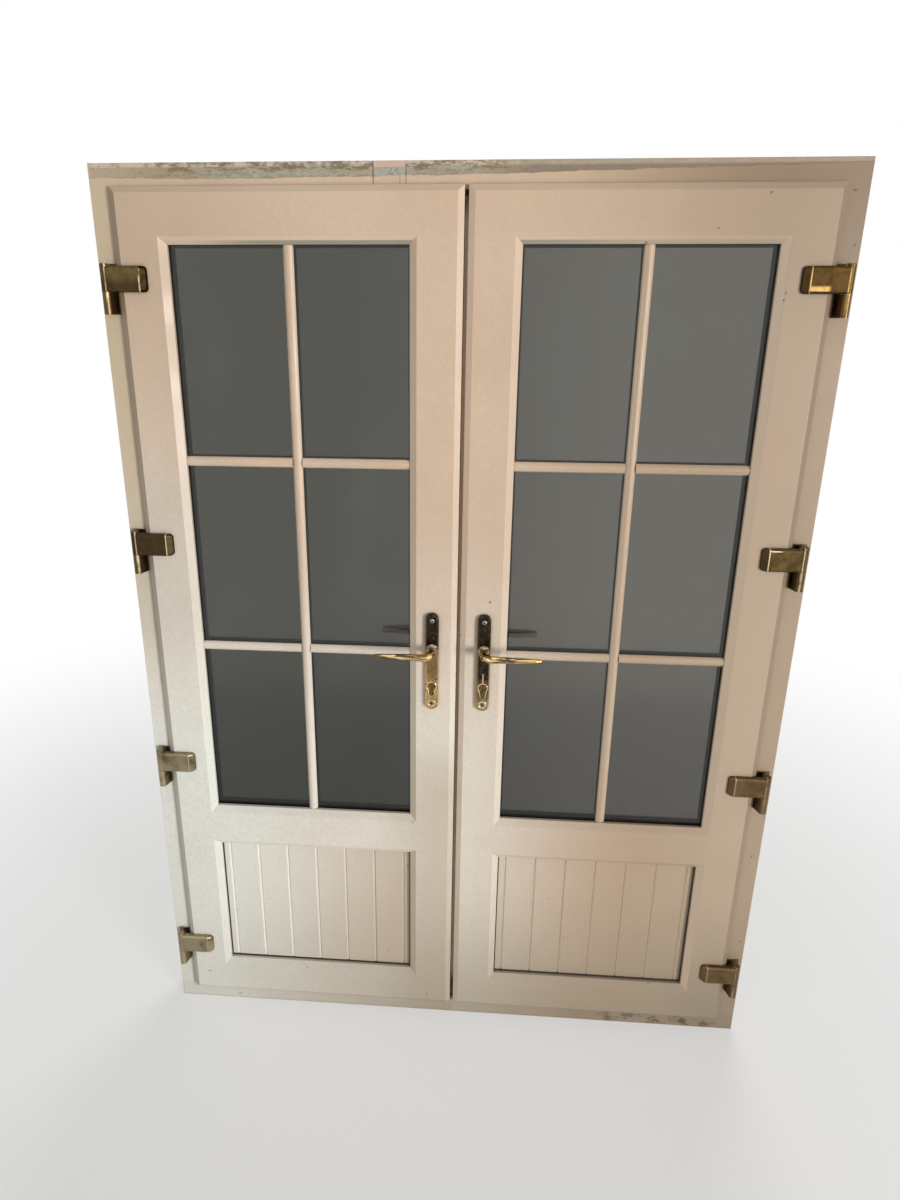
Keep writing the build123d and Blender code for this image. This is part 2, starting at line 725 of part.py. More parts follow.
def inner_backplate():
    """Inside plate with blind threaded holes for the screws."""
    plate = inner_from_outer(backplate())
    for height in screw_heights():
        plate -= through_leaf(Circle(SCREW_RADIUS), height, LEAF_BACK, LEAF_BACK + SCREW_BITE)
    return plate


def grip_ring(reach, forward, across, tall):
    """Section of the grip at one distance from the spindle, with its centre at one depth."""
    centre = (HANDLE_LINE - reach, LEAF_FRONT - LEVER_PROUD + forward, SPINDLE_HEIGHT)
    return Plane(origin=centre, x_dir=(0, 0, 1), z_dir=(-1, 0, 0)) * Ellipse(tall / 2, across / 2)


def bend_ring(turned):
    """Round section of the neck, a number of degrees into its bend."""
    ahead, aside = math.cos(math.radians(turned)), math.sin(math.radians(turned))
    depth = LEAF_FRONT - LEVER_PROUD + LEVER_BEND * (1 - aside)
    centre = (HANDLE_LINE - LEVER_BEND * (1 - ahead), depth, SPINDLE_HEIGHT)
    facing = (-aside, -ahead, 0)
    return Plane(origin=centre, x_dir=(0, 0, 1), z_dir=facing) * Circle(NECK_RADIUS)


def lever():
    """Outside lever: a round neck that turns in the plate, a bend, and a grip that tapers."""
    seat = LEAF_FRONT - NECK_SEAT
    bend = LEAF_FRONT - LEVER_PROUD + LEVER_BEND
    plane = Plane(origin=(HANDLE_LINE, seat, SPINDLE_HEIGHT), x_dir=(0, 0, 1), z_dir=(0, -1, 0))
    neck = extrude(plane * Circle(NECK_RADIUS), seat - bend)
    turns = [90 * step / LEVER_BEND_STEPS for step in range(LEVER_BEND_STEPS + 1)]
    elbow = loft([bend_ring(turned) for turned in turns], ruled=True)
    rings = [grip_ring(LEVER_BEND, 0, 2 * NECK_RADIUS, 2 * NECK_RADIUS)]
    for share, forward, across, tall in GRIP_SECTIONS:
        rings.append(grip_ring(share * LEVER_LENGTH, forward, across, tall))
    return neck + elbow + loft(rings, ruled=True)


def spindle():
    """Square bar that joins the two levers through the lock case."""
    plane = Plane(origin=(HANDLE_LINE, LEAF_FRONT - NECK_SEAT, SPINDLE_HEIGHT), z_dir=(0, 1, 0))
    return extrude(plane * Rectangle(SPINDLE, SPINDLE), LEAF_DEPTH + 2 * NECK_SEAT)


def key_cylinder():
    """Double key cylinder, flush with both plates, with a keyway in each end."""
    front = LEAF_FRONT - PLATE_THICK - CYLINDER_PROUD
    back = LEAF_BACK + PLATE_THICK + CYLINDER_PROUD
    height = SPINDLE_HEIGHT - CYLINDER_BELOW
    body = through_leaf(euro_profile(0), height, front, back)
    keyway = Rectangle(KEYWAY_WIDTH, KEYWAY_HEIGHT)
    body -= through_leaf(keyway, height, front, front + KEYWAY_DEPTH)
    body -= through_leaf(keyway, height, back - KEYWAY_DEPTH, back)
    return body


def lock_case():
    """Flat steel gearbox with holes for the spindle and the cylinder."""
    low, high = case_limits()
    half = CASE_THICK / 2
    case = between(
        (CASE_FRONT - CASE_DEPTH, CASE_FRONT),
        (LOCK_LINE - half, LOCK_LINE + half),
        (low, high),
    )
    case -= through_leaf(Circle(SPINDLE_BORE_RADIUS), SPINDLE_HEIGHT)
    case -= through_leaf(euro_profile(CYLINDER_CLEARANCE), SPINDLE_HEIGHT - CYLINDER_BELOW)
    return case


def latch_space(clearance, x):
    """The box that the latch bolt slides in, with one clearance all round."""
    height = SPINDLE_HEIGHT + LATCH_ABOVE
    tall = LATCH_HEIGHT / 2 + clearance
    half = LATCH_THICK / 2 + clearance
    return between(x, (LOCK_LINE - half, LOCK_LINE + half), (height - tall, height + tall))


def left_lock_case():
    """The left case, with the pocket that its latch bolt draws back into."""
    tip = MEETING_EDGE + LATCH_THROW
    rear = tip - LATCH_LENGTH - LATCH_TRAVEL - RUNNING_GAP
    return lock_case() - latch_space(RUNNING_GAP, (rear, CASE_FRONT))


def latch_bolt():
    """Sprung latch with a slope on its closing side."""
    tip = MEETING_EDGE + LATCH_THROW
    half = LATCH_THICK / 2
    plan = [
        (tip - LATCH_LENGTH, LOCK_LINE - half),
        (tip, LOCK_LINE - half),
        (tip, LOCK_LINE - half + LATCH_NOSE),
        (tip - LATCH_THROW + RUNNING_GAP, LOCK_LINE + half),
        (tip - LATCH_LENGTH, LOCK_LINE + half),
    ]
    low = SPINDLE_HEIGHT + LATCH_ABOVE - LATCH_HEIGHT / 2
    return Pos(0, 0, low) * extrude(make_face(Polyline(plan, close=True)), LATCH_HEIGHT)


def upright_slot(length, width, height, x):
    """A round-ended slot through the leaf's edge, between two places along X."""
    plane = Plane(origin=(x[0], LOCK_LINE, height), x_dir=(0, 0, 1), z_dir=(1, 0, 0))
    return extrude(plane * SlotOverall(length, width), x[1] - x[0])


def faceplate():
    """Long steel strip in the leaf's edge, slotted for the latch and the roller cams."""
    low = LEAF_END_LOW + FACEPLATE_FROM_END
    high = LEAF_END_HIGH - FACEPLATE_FROM_END
    span = (MEETING_EDGE - FACEPLATE_THICK, MEETING_EDGE)
    strip = upright_slot(high - low, FACEPLATE_WIDTH, (low + high) / 2, span)
    cut = (span[0] - 1, span[1] + 1)
    strip -= latch_space(RUNNING_GAP, cut)
    slot = 2 * (DRIVE_TRAVEL + CAM_RADIUS + RUNNING_GAP)
    for height in cam_places():
        strip -= upright_slot(slot, 2 * (CAM_RADIUS + RUNNING_GAP), height, cut)
    return strip


def drive_rail():
    """Sliding bar behind the faceplate, with its roller cams and a window for the latch."""
    low, high = drive_limits()
    half = DRIVE_WIDTH / 2
    rail = between((DRIVE_BACK, DRIVE_FRONT), (LOCK_LINE - half, LOCK_LINE + half), (low, high))
    window = LATCH_HEIGHT / 2 + DRIVE_TRAVEL + RUNNING_GAP
    gap = LATCH_THICK / 2 + RUNNING_GAP
    height = SPINDLE_HEIGHT + LATCH_ABOVE
    rail -= between(
        (DRIVE_BACK - 1, DRIVE_FRONT + 1),
        (LOCK_LINE - gap, LOCK_LINE + gap),
        (height - window, height + window),
    )
    for height in cam_places():
        plane = Plane(origin=(DRIVE_BACK, LOCK_LINE, height), x_dir=(0, 0, 1), z_dir=(1, 0, 0))
        rail += extrude(plane * Circle(CAM_RADIUS), MEETING_EDGE + CAM_PROUD - DRIVE_BACK)
    return rail


def shoot_bolt(z0, z1):
    """Flat bar that is driven into the frame at one end of the right leaf."""
    return bolt_slot(0, (z0, z1))


def top_bolt():
    """Upper shoot bolt, drawn in."""
    return shoot_bolt(case_limits()[1] + BOLT_TRAVEL, LEAF_END_HIGH - BOLT_TIP_SET_BACK)


def bottom_bolt():
    """Lower shoot bolt, drawn in."""
    return shoot_bolt(LEAF_END_LOW + BOLT_TIP_SET_BACK, case_limits()[0] - BOLT_TRAVEL)


def swing_growth(y):
    """How far a point at one depth moves past its place as its leaf starts to swing."""
    arm = MEETING_EDGE + LAP - HINGE_LINE
    return (y - HINGE_AXIS_DEPTH) ** 2 / (2 * arm)


def floating_mullion():
    """Upright on the right leaf's meeting edge that closes the gap between the leaves."""
    edge = -MEETING_EDGE
    face = LEAF_RECT[1] + MULLION_PASS_GAP
    cover_back = LEAF_BACK + MULLION_COVER_THICK
    plan = [
        (face + swing_growth(FRAME_FRONT), FRAME_FRONT),
        (edge, FRAME_FRONT),
        (edge, LEAF_BACK),
        (edge + MULLION_COVER_LAP, LEAF_BACK),
        (edge + MULLION_COVER_LAP, cover_back),
        (face + swing_growth(cover_back), cover_back),
    ]
    outline = make_face(Polyline(plan, close=True))
    corner = outline.vertices().sort_by_distance((edge + MULLION_COVER_LAP, cover_back, 0))[0]
    outline = fillet(corner, MULLION_ROUND)
    mullion = Pos(0, 0, LEAF_END_LOW) * extrude(outline, LEAF_END_HIGH - LEAF_END_LOW)
    stop_edge = FRAME_WALL + STOP_LEG + LEAF_STOP_GAP
    for z in ((LEAF_END_LOW - 1, stop_edge), (FRAME_HEIGHT - stop_edge, LEAF_END_HIGH + 1)):
        mullion -= between((-LAP, 2 * edge + MULLION_COVER_LAP), (LEAF_BACK, FRAME_BACK), z)
    return mullion


# Pieces by node name

def frame_pieces():
    """Everything that stays with the wall."""
    pieces = {
        "outer_frame": outer_frame(),
        "frame_seal": frame_seal(),
        "bolt_keeps": bolt_keeps(),
        "hinge_pins": hinge_pins(),
    }
    base = hinge_base()
    for number, height in enumerate(hinge_places(), 1):
        placed = Pos(HINGE_LINE, HINGE_AXIS_DEPTH, height) * base
        pieces[f"left_hinge_base_{number}"] = placed
        pieces[f"right_hinge_base_{number}"] = mirrored(placed)
    return pieces


def shared_leaf_pieces():
    """The pieces that both leaves have, as they lie on the left one."""
    pieces = {
        "outer_pane": pane(UNIT_FRONT),
        "inner_pane": pane(UNIT_BACK - PANE),
        "pane_spacer": pane_spacer(),
        "glazing_packers": glazing_packers(),
        "gaskets": gaskets(),
        "glazing_beads": glazing_beads(),
        "glazing_bars": glazing_bars(),
        "lower_panel": lower_panel(),
        "outer_backplate": outer_backplate(),
        "inner_backplate": inner_backplate(),
        "handle_screws": handle_screws(),
        "key_cylinder": key_cylinder(),
        "outer_lever": lever(),
        "inner_lever": inner_from_outer(lever()),
        "spindle": spindle(),
    }
    flag = hinge_flag()
    for number, height in enumerate(hinge_places(), 1):
        pieces[f"hinge_flag_{number}"] = Pos(HINGE_LINE, HINGE_AXIS_DEPTH, height) * flag
    return pieces


def all_pieces():
    """Every node's shape by its name."""
    pieces = frame_pieces()
    for name, shape in shared_leaf_pieces().items():
        pieces["left_" + name] = shape
        pieces["right_" + name] = mirrored(shape)
    pieces["left_leaf_frame"] = left_leaf_frame()
    pieces["left_lock_case"] = left_lock_case()
    pieces["left_faceplate"] = faceplate()
    pieces["left_latch_bolt"] = latch_bolt()
    pieces["left_drive_rail"] = drive_rail()
    pieces["right_leaf_frame"] = right_leaf_frame()
    pieces["right_lock_case"] = mirrored(lock_case())
    pieces["right_top_bolt"] = top_bolt()
    pieces["right_bottom_bolt"] = bottom_bolt()
    pieces["floating_mullion"] = floating_mullion()
    return pieces


def main():
    """Write one file for each piece."""
    os.makedirs("parts", exist_ok=True)
    for name, shape in all_pieces().items():
        export_step(shape, f"parts/{name}.step")


if __name__ == "__main__":
    main()
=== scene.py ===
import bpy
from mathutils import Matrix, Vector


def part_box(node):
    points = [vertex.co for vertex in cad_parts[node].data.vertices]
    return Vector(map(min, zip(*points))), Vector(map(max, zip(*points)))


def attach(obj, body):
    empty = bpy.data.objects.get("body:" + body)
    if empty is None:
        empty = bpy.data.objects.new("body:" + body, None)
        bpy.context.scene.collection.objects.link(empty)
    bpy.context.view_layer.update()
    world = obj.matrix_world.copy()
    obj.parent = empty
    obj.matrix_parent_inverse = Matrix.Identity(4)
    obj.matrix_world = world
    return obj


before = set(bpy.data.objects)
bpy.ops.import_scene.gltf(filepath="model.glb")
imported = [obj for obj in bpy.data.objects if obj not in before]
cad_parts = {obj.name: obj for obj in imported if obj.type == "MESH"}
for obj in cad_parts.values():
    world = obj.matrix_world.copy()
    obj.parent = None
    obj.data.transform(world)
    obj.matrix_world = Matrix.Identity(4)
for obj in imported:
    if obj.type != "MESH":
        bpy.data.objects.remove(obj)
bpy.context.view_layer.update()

import math

import bmesh
import bpy
from bpy.props import FloatProperty, FloatVectorProperty, PointerProperty
from mathutils import Matrix, Vector

bl_info = {
    "name": "French Doors",
    "version": (1, 0, 0),
    "blender": (4, 5, 0),
    "location": "3D View > Sidebar > French Doors",
    "description": "Finishes and detailed hardware for a pair of plastic french doors",
    "category": "Object",
}

SIDES = ("left", "right")
HINGES = range(1, 5)
FINISHES = {}

# Places and sizes in metres. The origin is the middle of the sill's underside. X runs to the right
# as seen from outside, Y into the room and Z up.
OUTSIDE = -0.030
HEAD_TOP = 2.0993
DOOR_MIDDLE = (0.0, 0.0, 1.05)
LEAF_MIDDLE = 0.3555
LEAF_HALF_WIDTH, LEAF_HALF_HEIGHT = 0.3515, 1.007
WELD_REACH = 0.080
LOWEST_ARM, ARM_SPACING = 0.179, 0.560
# Where the painted highlight runs down the knuckles, on the left and on the right.
LEFT_KNUCKLE_GLINT, RIGHT_KNUCKLE_GLINT = 0.7256, 0.7268
ARM_BEND = 0.6558
SEAL_FOOT, SEAL_TOP = 0.063, 2.037
SEALANT_BEHIND, SEALANT_SHOWN, SEALANT_THICK = 0.0141, 0.0200, 0.0008
FLOOR_RADIUS, FLOOR_HEIGHT = 30.0, -0.0005

# Handle plates: the line of their middle, their outer face and what stands on it.
HANDLE_LINE = 0.059
PLATE_FACE = -0.063
SUNK = 0.0002  # how deep a raised piece starts inside its plate
SPINDLE_HEIGHT = 1.091
UPPER_SCREW_HEIGHT, LOWER_SCREW_HEIGHT = 1.162, 0.956
CYLINDER_HEIGHT, CYLINDER_TAIL_HEIGHT = 0.999, 0.9815
BEAD_WIDTH, BEAD_RISE = 0.0022, 0.0009
SCREW_RADIUS, SCREW_RISE = 0.0046, 0.0011
RECESS_DEPTHS = (-0.0643, -0.0636)
RECESS_REACH, RECESS_HALF = 0.0030, 0.0010
COLLAR_PROFILE = (
    (0.0146, 0.0034),
    (0.0146, -0.0008),
    (0.0141, -0.0020),
    (0.0130, -0.0030),
    (0.0116, -0.0042),
    (0.0106, -0.0060),
    (0.0101, -0.0082),
    (0.0093, -0.0088),
    (0.0093, 0.0034),
)

# Dark marks on the front faces, each as x, z, half its width and half its height.
FRAME_MARKS = (
    (-0.1821, 2.080, 0.0014, 0.028),
    (-0.1184, 2.076, 0.0010, 0.020),
    (-0.1300, 2.068, 0.0007, 0.012),
    (0.7228, 2.043, 0.0035, 0.0022),
    (0.7379, 1.948, 0.002, 0.0028),
    (-0.6888, 0.1209, 0.0045, 0.0024),
    (-0.5876, 0.0144, 0.0060, 0.0016),
    (0.7309, 0.5531, 0.0022, 0.0030),
    (0.7364, 0.2925, 0.0026, 0.0020),
)
LEAF_MARKS = (
    (0.4768, 1.9769, 0.0024, 0.0016),
    (0.5656, 2.0378, 0.0026, 0.0032),
    (0.3456, 1.9518, 0.0022, 0.0030),
    (0.0694, 1.2080, 0.0026, 0.0034),
    (0.6171, 1.8611, 0.0022, 0.0034),
    (0.6152, 1.8483, 0.0022, 0.0026),
    (0.0055, 1.1228, 0.0012, 0.0026),
    (-0.6612, 0.1063, 0.0040, 0.0022),
    (-0.4982, 0.0603, 0.0020, 0.0018),
    (-0.0654, 0.0726, 0.0024, 0.0026),
    (-0.3901, 0.1379, 0.0014, 0.0022),
    (-0.1041, 0.6189, 0.0020, 0.0018),
    (0.5169, 0.1473, 0.0018, 0.0026),
)
PANEL_MARKS = (
    (-0.1704, 0.1935, 0.0012, 0.0050),
    (-0.1181, 0.4679, 0.0016, 0.0060),
    (-0.5748, 0.2983, 0.0020, 0.0016),
    (-0.2837, 0.2254, 0.0012, 0.0034),
    (0.2912, 0.2710, 0.0020, 0.0018),
    (0.2456, 0.3909, 0.0022, 0.0020),
)
# A painted highlight on the second right hinge's arm, as x, z, half its width and half its height.
ARM_HIGHLIGHT_SPOT = (0.668, 1.3455, 0.014, 0.0016)

# Lamps: name, place, aim, size and share of the key light's power.
LAMPS = (
    ("key", (8.5, -8.5, 1.3), DOOR_MIDDLE, 3.4, 1.0),
    ("fill", (-4.5, -5.0, 2.4), DOOR_MIDDLE, 3.2, 0.025),
    ("top", (0.0, -1.5, 6.0), (0.0, -0.8, 0.0), 4.0, 0.02),
    ("back", (1.2, 3.6, 4.8), DOOR_MIDDLE, 2.6, 0.085),
)


def colour_property(name, description, default):
    """A colour that a user can change."""
    return FloatVectorProperty(
        name=name, description=description, subtype="COLOR", size=3, min=0.0, max=1.0, default=default
    )


def angle_property(name, description, degrees):
    """An angle that a user can change."""
    return FloatProperty(name=name, description=description, subtype="ANGLE", default=math.radians(degrees))


class FinishColours(bpy.types.PropertyGroup):
    """Colours of the materials."""

    plastic: colour_property("Plastic", "Cream plastic of the frame and leaves", (0.665, 0.505, 0.37))
    plastic_worn: colour_property("Aged plastic", "Browner patches in the plastic", (0.605, 0.445, 0.315))
    # Paler plastic low on the left: partly bleaching, partly painted light from below.
    plastic_pale: colour_property("Pale plastic", "Bleached plastic low on the left", (0.80, 0.755, 0.665))
    # Painted shade: darkens the plastic toward the right; also used for brown mottling.
    plastic_brown_and_shade: colour_property("Brown plastic", "Dirtier plastic on the right", (0.415, 0.295, 0.195))
    # Dirt, also used for painted shade in corners and under the head's filler.
    grime_and_shade: colour_property("Grime", "Dirt in corners and joints", (0.17, 0.115, 0.07))
    residue: colour_property("Residue", "Filler left along the head", (0.37, 0.36, 0.27))
    rubber: colour_property("Rubber", "Seals and gaskets", (0.026, 0.021, 0.017))
    spacer: colour_property("Spacer bar", "Bar between the panes", (0.012, 0.012, 0.014))
    glass: colour_property("Glass", "Tint of each pane", (0.232, 0.230, 0.205))
    hinge: colour_property("Hinge brass", "Tarnished brass of the hinges", (0.105, 0.074, 0.029))
    handle: colour_property("Handle brass", "Polished brass of the levers", (0.70, 0.47, 0.185))
    tarnish: colour_property("Tarnish", "Dark film on the brass", (0.022, 0.017, 0.012))
    steel: colour_property("Steel", "Zinc plated lock parts", (0.58, 0.58, 0.56))


class StageSettings(bpy.types.PropertyGroup):
    """Camera and light."""

    lens: FloatProperty(
        name="Focal length",
        description="For a 36 mm tall image",
        default=23.45,
        min=10.0,
        max=120.0,
        subtype="DISTANCE_CAMERA",
    )
    shift: FloatVectorProperty(
        name="Shift",
        description="Offset of the crop, as a share of its height",
        size=2,
        default=(0.023, -0.0276),
    )
    camera_place: FloatVectorProperty(
        name="Camera",
        description="Where the camera stands",
        default=(0.0362, -1.6933, 1.8295),
        subtype="XYZ",
        unit="LENGTH",
    )
    camera_yaw: angle_property("Yaw", "Turn of the camera to its left", 4.13)
    camera_pitch: angle_property("Pitch", "How far the camera looks down", 18.26)
    camera_roll: angle_property("Roll", "Turn of the camera about its own axis", -0.23)
    key_power: FloatProperty(
        name="Key light",
        description="Power of the large lamp in front",
        default=1190.0,
        min=0.0,
        unit="POWER",
    )
    sky: FloatProperty(
        name="Sky",
        description="Strength of the even light from all sides",
        default=0.29,
        min=0.0,
        subtype="FACTOR",
    )


class Nodes:
    """Short calls for the nodes of one tree."""

    def __init__(self, tree):
        self.tree = tree

    def node(self, kind, inputs=(), **settings):
        """A new node with some of its settings, and values for inputs given by name or number."""
        made = self.tree.nodes.new(kind)
        for name, value in settings.items():
            setattr(made, name, value)
        for socket, value in dict(inputs).items():
            self.feed(made.inputs[socket], value)
        return made

    def feed(self, socket, value):
        """Links a socket, or sets it where the value is a number or colour."""
        if isinstance(value, bpy.types.NodeSocket):
            self.tree.links.new(value, socket)
        elif isinstance(value, (tuple, list)) or hasattr(value, "r"):
            numbers = tuple(value)
            size = len(socket.default_value)
            socket.default_value = (numbers + (1.0,))[:size]
        else:
            socket.default_value = value

    def sums(self, operation, *values):
        """A Math node."""
        return self.node("ShaderNodeMath", enumerate(values), operation=operation).outputs[0]

    def chain(self, operation, result, *others):
        """One Math operation carried through several numbers."""
        for value in others:
            result = self.sums(operation, result, value)
        return result

    def product(self, *values):
        """Several numbers multiplied."""
        return self.chain("MULTIPLY", *values)

    def plus(self, *values):
        """Several numbers added."""
        return self.chain("ADD", *values)

    def largest(self, *values):
        """The largest of several numbers."""
        return self.chain("MAXIMUM", *values)

    def blend(self, factor, first, second, end):
        """Two shaders mixed and fed to the tree's output node."""
        inputs = (factor, first.outputs[0], second.outputs[0])
        made = self.node("ShaderNodeMixShader", enumerate(inputs))
        self.feed(self.tree.nodes[end].inputs["Surface"], made.outputs[0])


class Finish(Nodes):
    """One material and short calls for its nodes. Places are in metres in the doors' own frame."""

    def __init__(self, name):
        self.material = bpy.data.materials.new(name)
        self.material.use_nodes = True
        super().__init__(self.material.node_tree)
        self.shader = self.tree.nodes["Principled BSDF"]
        self.place = self.node("ShaderNodeTexCoord").outputs["Object"]
        self.x, self.y, self.z = self.parts(self.place)

    def parts(self, direction):
        """The three parts of a place or direction."""
        return self.node("ShaderNodeSeparateXYZ", {0: direction}).outputs

    def minus(self, value, taken):
        """One number less another."""
        return self.sums("SUBTRACT", value, taken)

    def away(self, value, middle):
        """Distance from a middle, to either side."""
        return self.sums("ABSOLUTE", self.minus(value, middle))

    def within(self, value, middle, half):
        """Distance in from both ends of a range."""
        return self.minus(half, self.away(value, middle))

    def aside(self):
        """Distance from the meeting gap, to either side."""
        return self.sums("ABSOLUTE", self.x)

    def span(self, value, low, high, start=0.0, end=1.0):
        """A smooth step from one value to another."""
        inputs = (value, low, high, start, end)
        made = self.node("ShaderNodeMapRange", enumerate(inputs), interpolation_type="SMOOTHSTEP")
        return made.outputs["Result"]

    def across(self, *numbers):
        """A smooth step along the width."""
        return self.span(self.x, *numbers)

    def up(self, *numbers):
        """A smooth step along the height."""
        return self.span(self.z, *numbers)

    def right(self, *values):
        """0 on the left leaf and 1 on the right one, or two other values."""
        return self.across(-0.1, 0.1, *values)

    def left(self, *values):
        """0 on the right leaf and 1 on the left one, or two other values."""
        return self.across(0.1, -0.1, *values)

    def noise(self, scale, detail, stretch=None, rough=0.5):
        """Noise from 0 to 1."""
        place = self.place
        if stretch:
            place = self.node("ShaderNodeVectorMath", {0: place, 1: stretch}, operation="MULTIPLY").outputs[0]
        inputs = {"Vector": place, "Scale": scale, "Detail": detail, "Roughness": rough}
        return self.node("ShaderNodeTexNoise", inputs).outputs["Fac"]

    def patches(self, noise, *numbers):
        """A smooth step over noise, which makes soft patches."""
        return self.span(self.noise(*noise), *numbers)

    def wobble(self, noise, size):
        """Noise about 0."""
        return self.product(self.minus(self.noise(*noise), 0.5), size)

    def gloss(self, scale, detail, low, high):
        """Roughness that wanders between two values."""
        return self.patches((scale, detail), 0.3, 0.7, low, high)

    def mix(self, factor, first, second):
        """Two colours mixed."""
        return self.node("ShaderNodeMix", {0: factor, 6: first, 7: second}, data_type="RGBA").outputs[2]

    def coats(self, colour, *coats):
        """A colour with coats over it, each as its tint and the factors of how well it covers."""
        for tint, *factors in coats:
            colour = self.mix(self.product(*factors), colour, tint)
        return colour

    def bump(self, height, distance, under=None):
        """A bump of one greatest height, on top of another."""
        inputs = {"Height": height, "Distance": distance}
        if under is not None:
            inputs["Normal"] = under
        return self.node("ShaderNodeBump", inputs).outputs["Normal"]

    def grain(self, noise, distance, under=None):
        """Bumps from noise."""
        return self.bump(self.noise(*noise), distance, under)

    def crevice(self, distance):
        """1 in the open and 0 deep in a corner."""
        return self.node("ShaderNodeAmbientOcclusion", {"Distance": distance}, samples=6).outputs["AO"]

    def normal(self):
        """The direction that a face turns to."""
        return self.node("ShaderNodeNewGeometry").outputs["Normal"]

    def edge(self, radius):
        """1 at a sharp outer edge and 0 on flat faces."""
        rounded = self.node("ShaderNodeBevel", {"Radius": radius}, samples=6).outputs[0]
        dot = self.node("ShaderNodeVectorMath", {0: rounded, 1: self.normal()}, operation="DOT_PRODUCT")
        return self.span(dot.outputs["Value"], 0.995, 0.90)

    def specks(self, scale, size, share):
        """Small round specks in a share of the cells of a random pattern."""
        made = self.node("ShaderNodeTexVoronoi", {"Vector": self.place, "Scale": scale})
        near = self.span(made.outputs["Distance"], size * scale, size * scale * 0.6)
        return self.product(near, self.sums("LESS_THAN", made.outputs["Color"], share))

    def spots(self, places, ragged):
        """Marks at stated places on the face, each as (x, z, half width, half height)."""
        found = []
        for x, z, half_x, half_z in places:
            beside = self.sums("DIVIDE", self.minus(self.x, x), half_x)
            above = self.sums("DIVIDE", self.minus(self.z, z), half_z)
            far = self.plus(self.sums("POWER", beside, 2.0), self.sums("POWER", above, 2.0), ragged)
            found.append(self.span(far, 1.2, 0.6))
        return self.largest(*found)

    def front(self):
        """1 on the outside faces, and 0 behind them."""
        return self.sums("LESS_THAN", self.y, OUTSIDE)

    def done(self, colour, rough, normal=None, metal=0.0, **uniform):
        """Connects the shader and returns the material."""
        inputs = {"Base Color": colour, "Roughness": rough, "Metallic": metal}
        if normal is not None:
            inputs["Normal"] = normal
        for name, value in uniform.items():
            inputs[name.replace("_", " ")] = value
        for name, value in inputs.items():
            self.feed(self.shader.inputs[name], value)
        return self.material


def aged_plastic(finish, colours, corners):
    """Cream plastic, pale low on the left with partly painted light, painted shade to the right and in the
    upper corners, and dirt with painted shade in its corners.
    """
    across, up = finish.across, finish.up
    aside = finish.aside()
    lift = across(-0.35, -0.70, 0.0, 0.32)
    level = finish.minus(finish.z, lift)
    # Dirt with painted shade, deepest in corners.
    nook_dirt_and_shade = finish.span(finish.crevice(0.013), 0.80, 0.42, 0.0, corners)
    dirt = finish.product(nook_dirt_and_shade, finish.patches((24.0, 5.0, None, 0.65), 0.30, 0.62, 0.55, 1.0))
    specks = finish.product(finish.specks(26.0, 0.0010, 0.12), 0.7)
    colour = finish.coats(
        colours.plastic,
        (colours.plastic_worn, finish.patches((1.7, 3.0), 0.35, 0.68)),
        # Pale low on the left: partly bleaching, partly painted light from below.
        (colours.plastic_pale, finish.span(level, 1.52, 0.72), across(0.52, -0.10), 0.9),
        # Painted shade darkening the plastic toward the right.
        (colours.plastic_brown_and_shade, across(0.0, 0.62)),
        # Painted shade over both upper corners.
        (
            (0.40, 0.30, 0.20),
            finish.span(aside, 0.25, 0.74),
            up(1.35, 2.0),
            0.52,
            across(-0.3, -0.7, 1.0, 0.80),
        ),
        # The right edge: lighter below, and painted shade above.
        ((0.57, 0.465, 0.345), up(1.75, 0.95), across(0.35, 0.70), 0.40),
        ((0.31, 0.215, 0.125), up(1.60, 2.02), across(0.38, 0.66), 0.50),
        # The left edge, dull in the middle and white below.
        ((0.42, 0.38, 0.32), up(1.65, 1.35), up(0.95, 1.15), across(-0.45, -0.70), 0.28),
        ((0.807, 0.832, 0.766), up(1.10, 0.72), across(-0.28, -0.66), 0.75),
        # Beside the meeting gap.
        ((0.47, 0.365, 0.255), up(0.90, 0.70), across(-0.22, -0.05), across(0.003, 0.0), 0.5),
        # The darker foot, and painted shadow in its right corner.
        (
            (0.28, 0.235, 0.165),
            up(0.52, 0.03),
            across(-0.9, 0.5, 0.50, 0.72),
            across(-0.70, -0.10, 0.40, 1.0),
        ),
        ((0.20, 0.170, 0.120), up(0.45, 0.0), across(0.45, 0.76), 0.55),
        # Clouds, mottling, dirt with painted shade in corners, and specks.
        (colours.grime_and_shade, finish.patches((5.0, 4.0, None, 0.6), 0.45, 0.75, 0.0, 0.07)),
        (colours.plastic_brown_and_shade, finish.patches((160.0, 3.0), 0.3, 0.7, 0.0, 0.14)),
        (colours.grime_and_shade, finish.largest(dirt, specks)),
    )
    return colour, dirt


def marked(finish, colour, marks, tint=(0.07, 0.05, 0.032)):
    """A colour with dark marks on its front."""
    ragged = finish.wobble((300.0, 3.0), 1.6)
    return finish.coats(colour, (tint, finish.spots(marks, ragged), finish.front(), 0.7))


def plastic_surface(finish):
    """Fine ripple of moulded plastic."""
    return finish.grain((28.0, 2.0), 0.00018, finish.grain((420.0, 2.0), 0.00006))


def weld_lines(finish):
    """Thin diagonal lines where the mitred corners of a leaf are welded."""
    from_side = finish.within(finish.aside(), LEAF_MIDDLE, LEAF_HALF_WIDTH)
    from_end = finish.within(finish.z, DOOR_MIDDLE[2], LEAF_HALF_HEIGHT)
    line = finish.span(finish.away(from_side, from_end), 0.0006, 0.0002)
    return finish.product(line, finish.sums("LESS_THAN", from_side, WELD_REACH))


